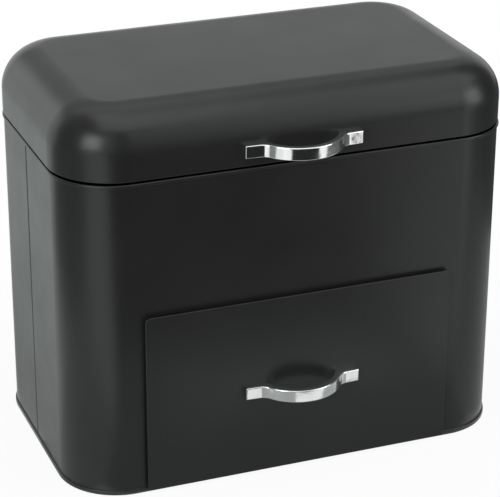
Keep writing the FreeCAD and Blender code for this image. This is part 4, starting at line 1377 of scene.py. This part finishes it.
# The name, tone and corners of each card that paints a dark or bright reflection on the box, and
# its tint if it isn't the usual one.
PAINTED_REFLECTION_CARDS = (
    ("sill_card", 0.38, level(FLOOR, CORNER_LEFT, CORNER_RIGHT, SILL_RIGHT, SILL_LEFT)),
    ("near_card", 0.36, level(FLOOR, SILL_LEFT, SILL_RIGHT, APRON_RIGHT, APRON_LEFT)),
    (
        "bow_card",
        0.84,
        level(OVER_FLOOR, (-0.05, -0.188), (0.13, -0.188), (0.13, -0.245), (-0.05, -0.245)),
        (0.99, 1.0, 0.985),
    ),
    ("front_card", 0.02, level(FLOOR, APRON_LEFT, APRON_RIGHT, (1.45, -2.7), (-1.55, -2.7))),
    ("corner_card", 0.60, level(FLOOR, CORNER_LEFT, (-0.162, 0.005), *INNER, SILL_LEFT)),
    ("outer_corner_card", 0.74, level(FLOOR, INNER[0], *OUTER, INNER[2], INNER[1])),
    ("left_card", 0.85, level(FLOOR, (-0.48, -0.44), *LEFT, (-2.1, -1.74))),
    (
        "far_left_card",
        0.22,
        level(FLOOR, LEFT[1], LEFT[0], OUTER[1], (-0.41, 0.08), LEFT_BACK, (-2.4, 1.3), LEFT[2]),
    ),
    (
        "left_wall_card",
        0.14,
        ((-2.6, -0.8, 0.01), (-2.4, 1.3, 0.01), (-1.2, 1.3, 3.2), (-1.2, -0.8, 3.2)),
    ),
    (
        "skirt_card",
        0.63,
        level(OVER_FLOOR, (-0.163, 0.0), (-0.163, 0.3), (-0.212, 0.3), (-0.212, 0.03)),
    ),
    (
        "side_card",
        0.85,
        level(FLOOR, (-0.17, 0.0), (-0.17, 0.3), (0.0, 1.4), (-1.1, 1.4), LEFT_BACK, OUTER[0]),
    ),
    (
        "right_near_card",
        0.60,
        level(FLOOR, CORNER_RIGHT, SILL_RIGHT, *RIGHT, (0.165, 0.1), (0.165, -0.06)),
    ),
    (
        "right_card",
        0.12,
        level(FLOOR, RIGHT[0], (1.9, -1.5), (2.6, 0.3), (1.4, 2.2), (0.3, 0.55), *RIGHT[:0:-1]),
    ),
    (
        "right_wall_card",
        0.10,
        ((2.4, -1.0, 0.01), (2.4, 1.2, 0.01), (1.2, 1.2, 2.8), (1.2, -1.0, 2.8)),
    ),
    (
        "right_ceiling_card",
        1.4,
        level(CEILING, (0.56, -1.5), (1.7, -1.5), (1.7, -0.05), (0.56, -0.05)),
    ),
    ("rear_left_card", 1.25, upright((-2.7, 0.9), (-0.9, 3.1), 0.5, 2.4)),
    (
        "ceiling_card",
        0.08,
        level(CEILING, (-1.3, -1.5), (0.55, -1.5), (0.55, -0.05), (-1.3, -0.05)),
    ),
    ("wall_card", 0.18, upright(WALL[0], WALL[1], 0.01, 2.4)),
    ("low_wall_card", 0.18, upright(WALL[1], WALL[2], 0.01, 0.5)),
    ("low_right_wall_card", 0.18, upright(WALL[2], WALL[3], 0.01, 0.28)),
    ("middle_wall_card", 0.4, upright(WALL[1], WALL[2], 0.5, 1.5)),
    ("bright_wall_card", 1.25, upright(WALL[2], WALL[3], 0.28, 1.6)),
    ("far_left_wall_card", 0.45, upright((-2.6, -0.8), (-0.9, -2.9), 0.01, 1.8)),
    ("far_right_wall_card", 0.45, upright(WALL[3], WALL[4], 0.01, 1.8)),
    ("back_card", 0.47, level(1.6, (-2.5, 1.0), (2.5, 1.0), (2.5, 4.5), (-2.5, 4.5))),
)


@dataclass(frozen=True)
class Studio:
    """A pale floor, plain soft light, and glowing cards that paint the box's reflections."""

    floor_radius: float = 6.0
    floor_sides: int = 96
    floor_tone: float = 0.82
    floor_mottle: Cloud = Cloud(30.0, 3.0, span=(0.985, 1.0))
    floor_roughness: float = 0.9
    floor_specular: float = 0.1
    shadow_start: float = 0.18
    shadow_end: float = 0.45
    shadow_lift: float = 0.93
    fill_strength: float = 0.62

    def build(self) -> None:
        """Set up the floor, the world, the lamps and the cards that paint reflections."""
        self.lay_floor()
        self.light_world()
        for lamp in SOFTBOXES:
            lamp.build()
        for card in PAINTED_REFLECTION_CARDS:
            PaintedReflectionCard(*card).build()

    @staticmethod
    def seen_as_background(graph: Graph) -> Any:
        """Mark the rays that show the background: the camera's, reflections and glass.

        Args:
            graph: The graph that needs the mark.

        Returns:
            1 for these rays and 0 for others.
        """
        path = graph.add("LightPath")
        seen = graph.math("MAXIMUM", path.outputs["Is Camera Ray"], path.outputs["Is Glossy Ray"])
        return graph.math("MAXIMUM", seen, path.outputs["Is Transmission Ray"])

    def lay_floor(self) -> None:
        """Lay a round pale floor that turns to plain white away from the box."""
        bpy.ops.object.select_all(action="DESELECT")
        bpy.ops.mesh.primitive_circle_add(
            vertices=self.floor_sides, radius=self.floor_radius, fill_type="NGON"
        )
        floor = Workpiece("studio_floor").obj
        material, graph, shader, place = start_material("pale_studio_floor")
        tone = graph.math("MULTIPLY", self.floor_mottle.over(graph, place), self.floor_tone)
        surface = {
            "Base Color": graph.add("CombineColor", {0: tone, 1: tone, 2: tone}).outputs[0],
            "Roughness": self.floor_roughness,
            "Specular IOR Level": self.floor_specular,
        }
        graph.supply(shader, surface)
        away = graph.add("VectorMath", {0: place}, operation="LENGTH").outputs["Value"]
        lift = graph.remap(away, self.shadow_start, self.shadow_end, self.shadow_lift, 1.0)
        amount = graph.math("MULTIPLY", lift, self.seen_as_background(graph))
        white = graph.add("Emission", {"Color": WHITE, "Strength": 1.0}).outputs[0]
        blend = graph.add("MixShader", {0: amount, 1: shader.outputs[0], 2: white}).outputs[0]
        graph.supply(graph.tree.nodes["Material Output"], {"Surface": blend})
        floor.data.materials.append(material)

    def light_world(self) -> None:
        """Light the room softly, and show plain white to the camera and to reflections."""
        world = bpy.data.worlds.new("studio_air")
        bpy.context.scene.world = world
        world.use_nodes = True
        graph = Graph(world.node_tree)
        seen = self.seen_as_background(graph)
        strength = graph.remap(seen, 0.0, 1.0, self.fill_strength, 1.0)
        graph.supply(graph.tree.nodes["Background"], {"Color": WHITE, "Strength": strength})


@dataclass(frozen=True)
class CameraRig:
    """The camera at the viewing angle, aimed at the middle of the box."""

    lens: float = 149.4
    sensor_width: float = 36.0
    place: Triple = (-0.48972, -1.25734, 0.72690)
    target: Triple = (0.00088, 0.00818, 0.12522)
    roll: float = math.radians(0.211)

    def build(self) -> None:
        """Set up the camera."""
        camera = bpy.data.cameras.new("studio_camera")
        camera.lens = self.lens
        camera.sensor_width = self.sensor_width
        holder = bpy.data.objects.new("studio_camera", camera)
        bpy.context.scene.collection.objects.link(holder)
        aim = Vector(self.target) - Vector(self.place)
        turn = aim.to_track_quat("-Z", "Y").to_matrix().to_4x4()
        holder.matrix_world = turn @ holder.matrix_world.Rotation(self.roll, 4, "Z")
        holder.location = self.place
        bpy.context.scene.camera = holder


# Assembly


def dress_hardware(finishes: dict[Slot, Any]) -> None:
    """Give every construction node the material of its slot.

    Args:
        finishes: The material of every slot.
    """
    for subpart in frame["record"]["subparts"]:
        node = frame["nodes"][subpart["node"]]
        slot = Slot(subpart["material_slot"])
        for place in node.material_slots:
            place.material = finishes[slot]
        LOG.info("%s: construction shape, %s", node.name, slot.value)


def main() -> None:
    """Build the studio and dress the box, piece by piece."""
    logging.basicConfig(level=logging.INFO, format="%(name)s: %(message)s")
    bpy.context.scene.view_settings.view_transform = "Standard"
    CameraRig().build()
    Studio().build()
    effects = make_effects()
    finishes = {slot: finish.build(effects) for slot, finish in FINISHES.items()}
    dress_hardware(finishes)
    for piece in (LidCover, BodyShells, DrawerFront, DrawerTray):
        piece(finishes).build()
    for node, body in (("lid_handle", Body.LID), ("drawer_handle", Body.DRAWER)):
        BowHandle(finishes, node=node, body=body).build()


if __name__ == "__main__":
    main()
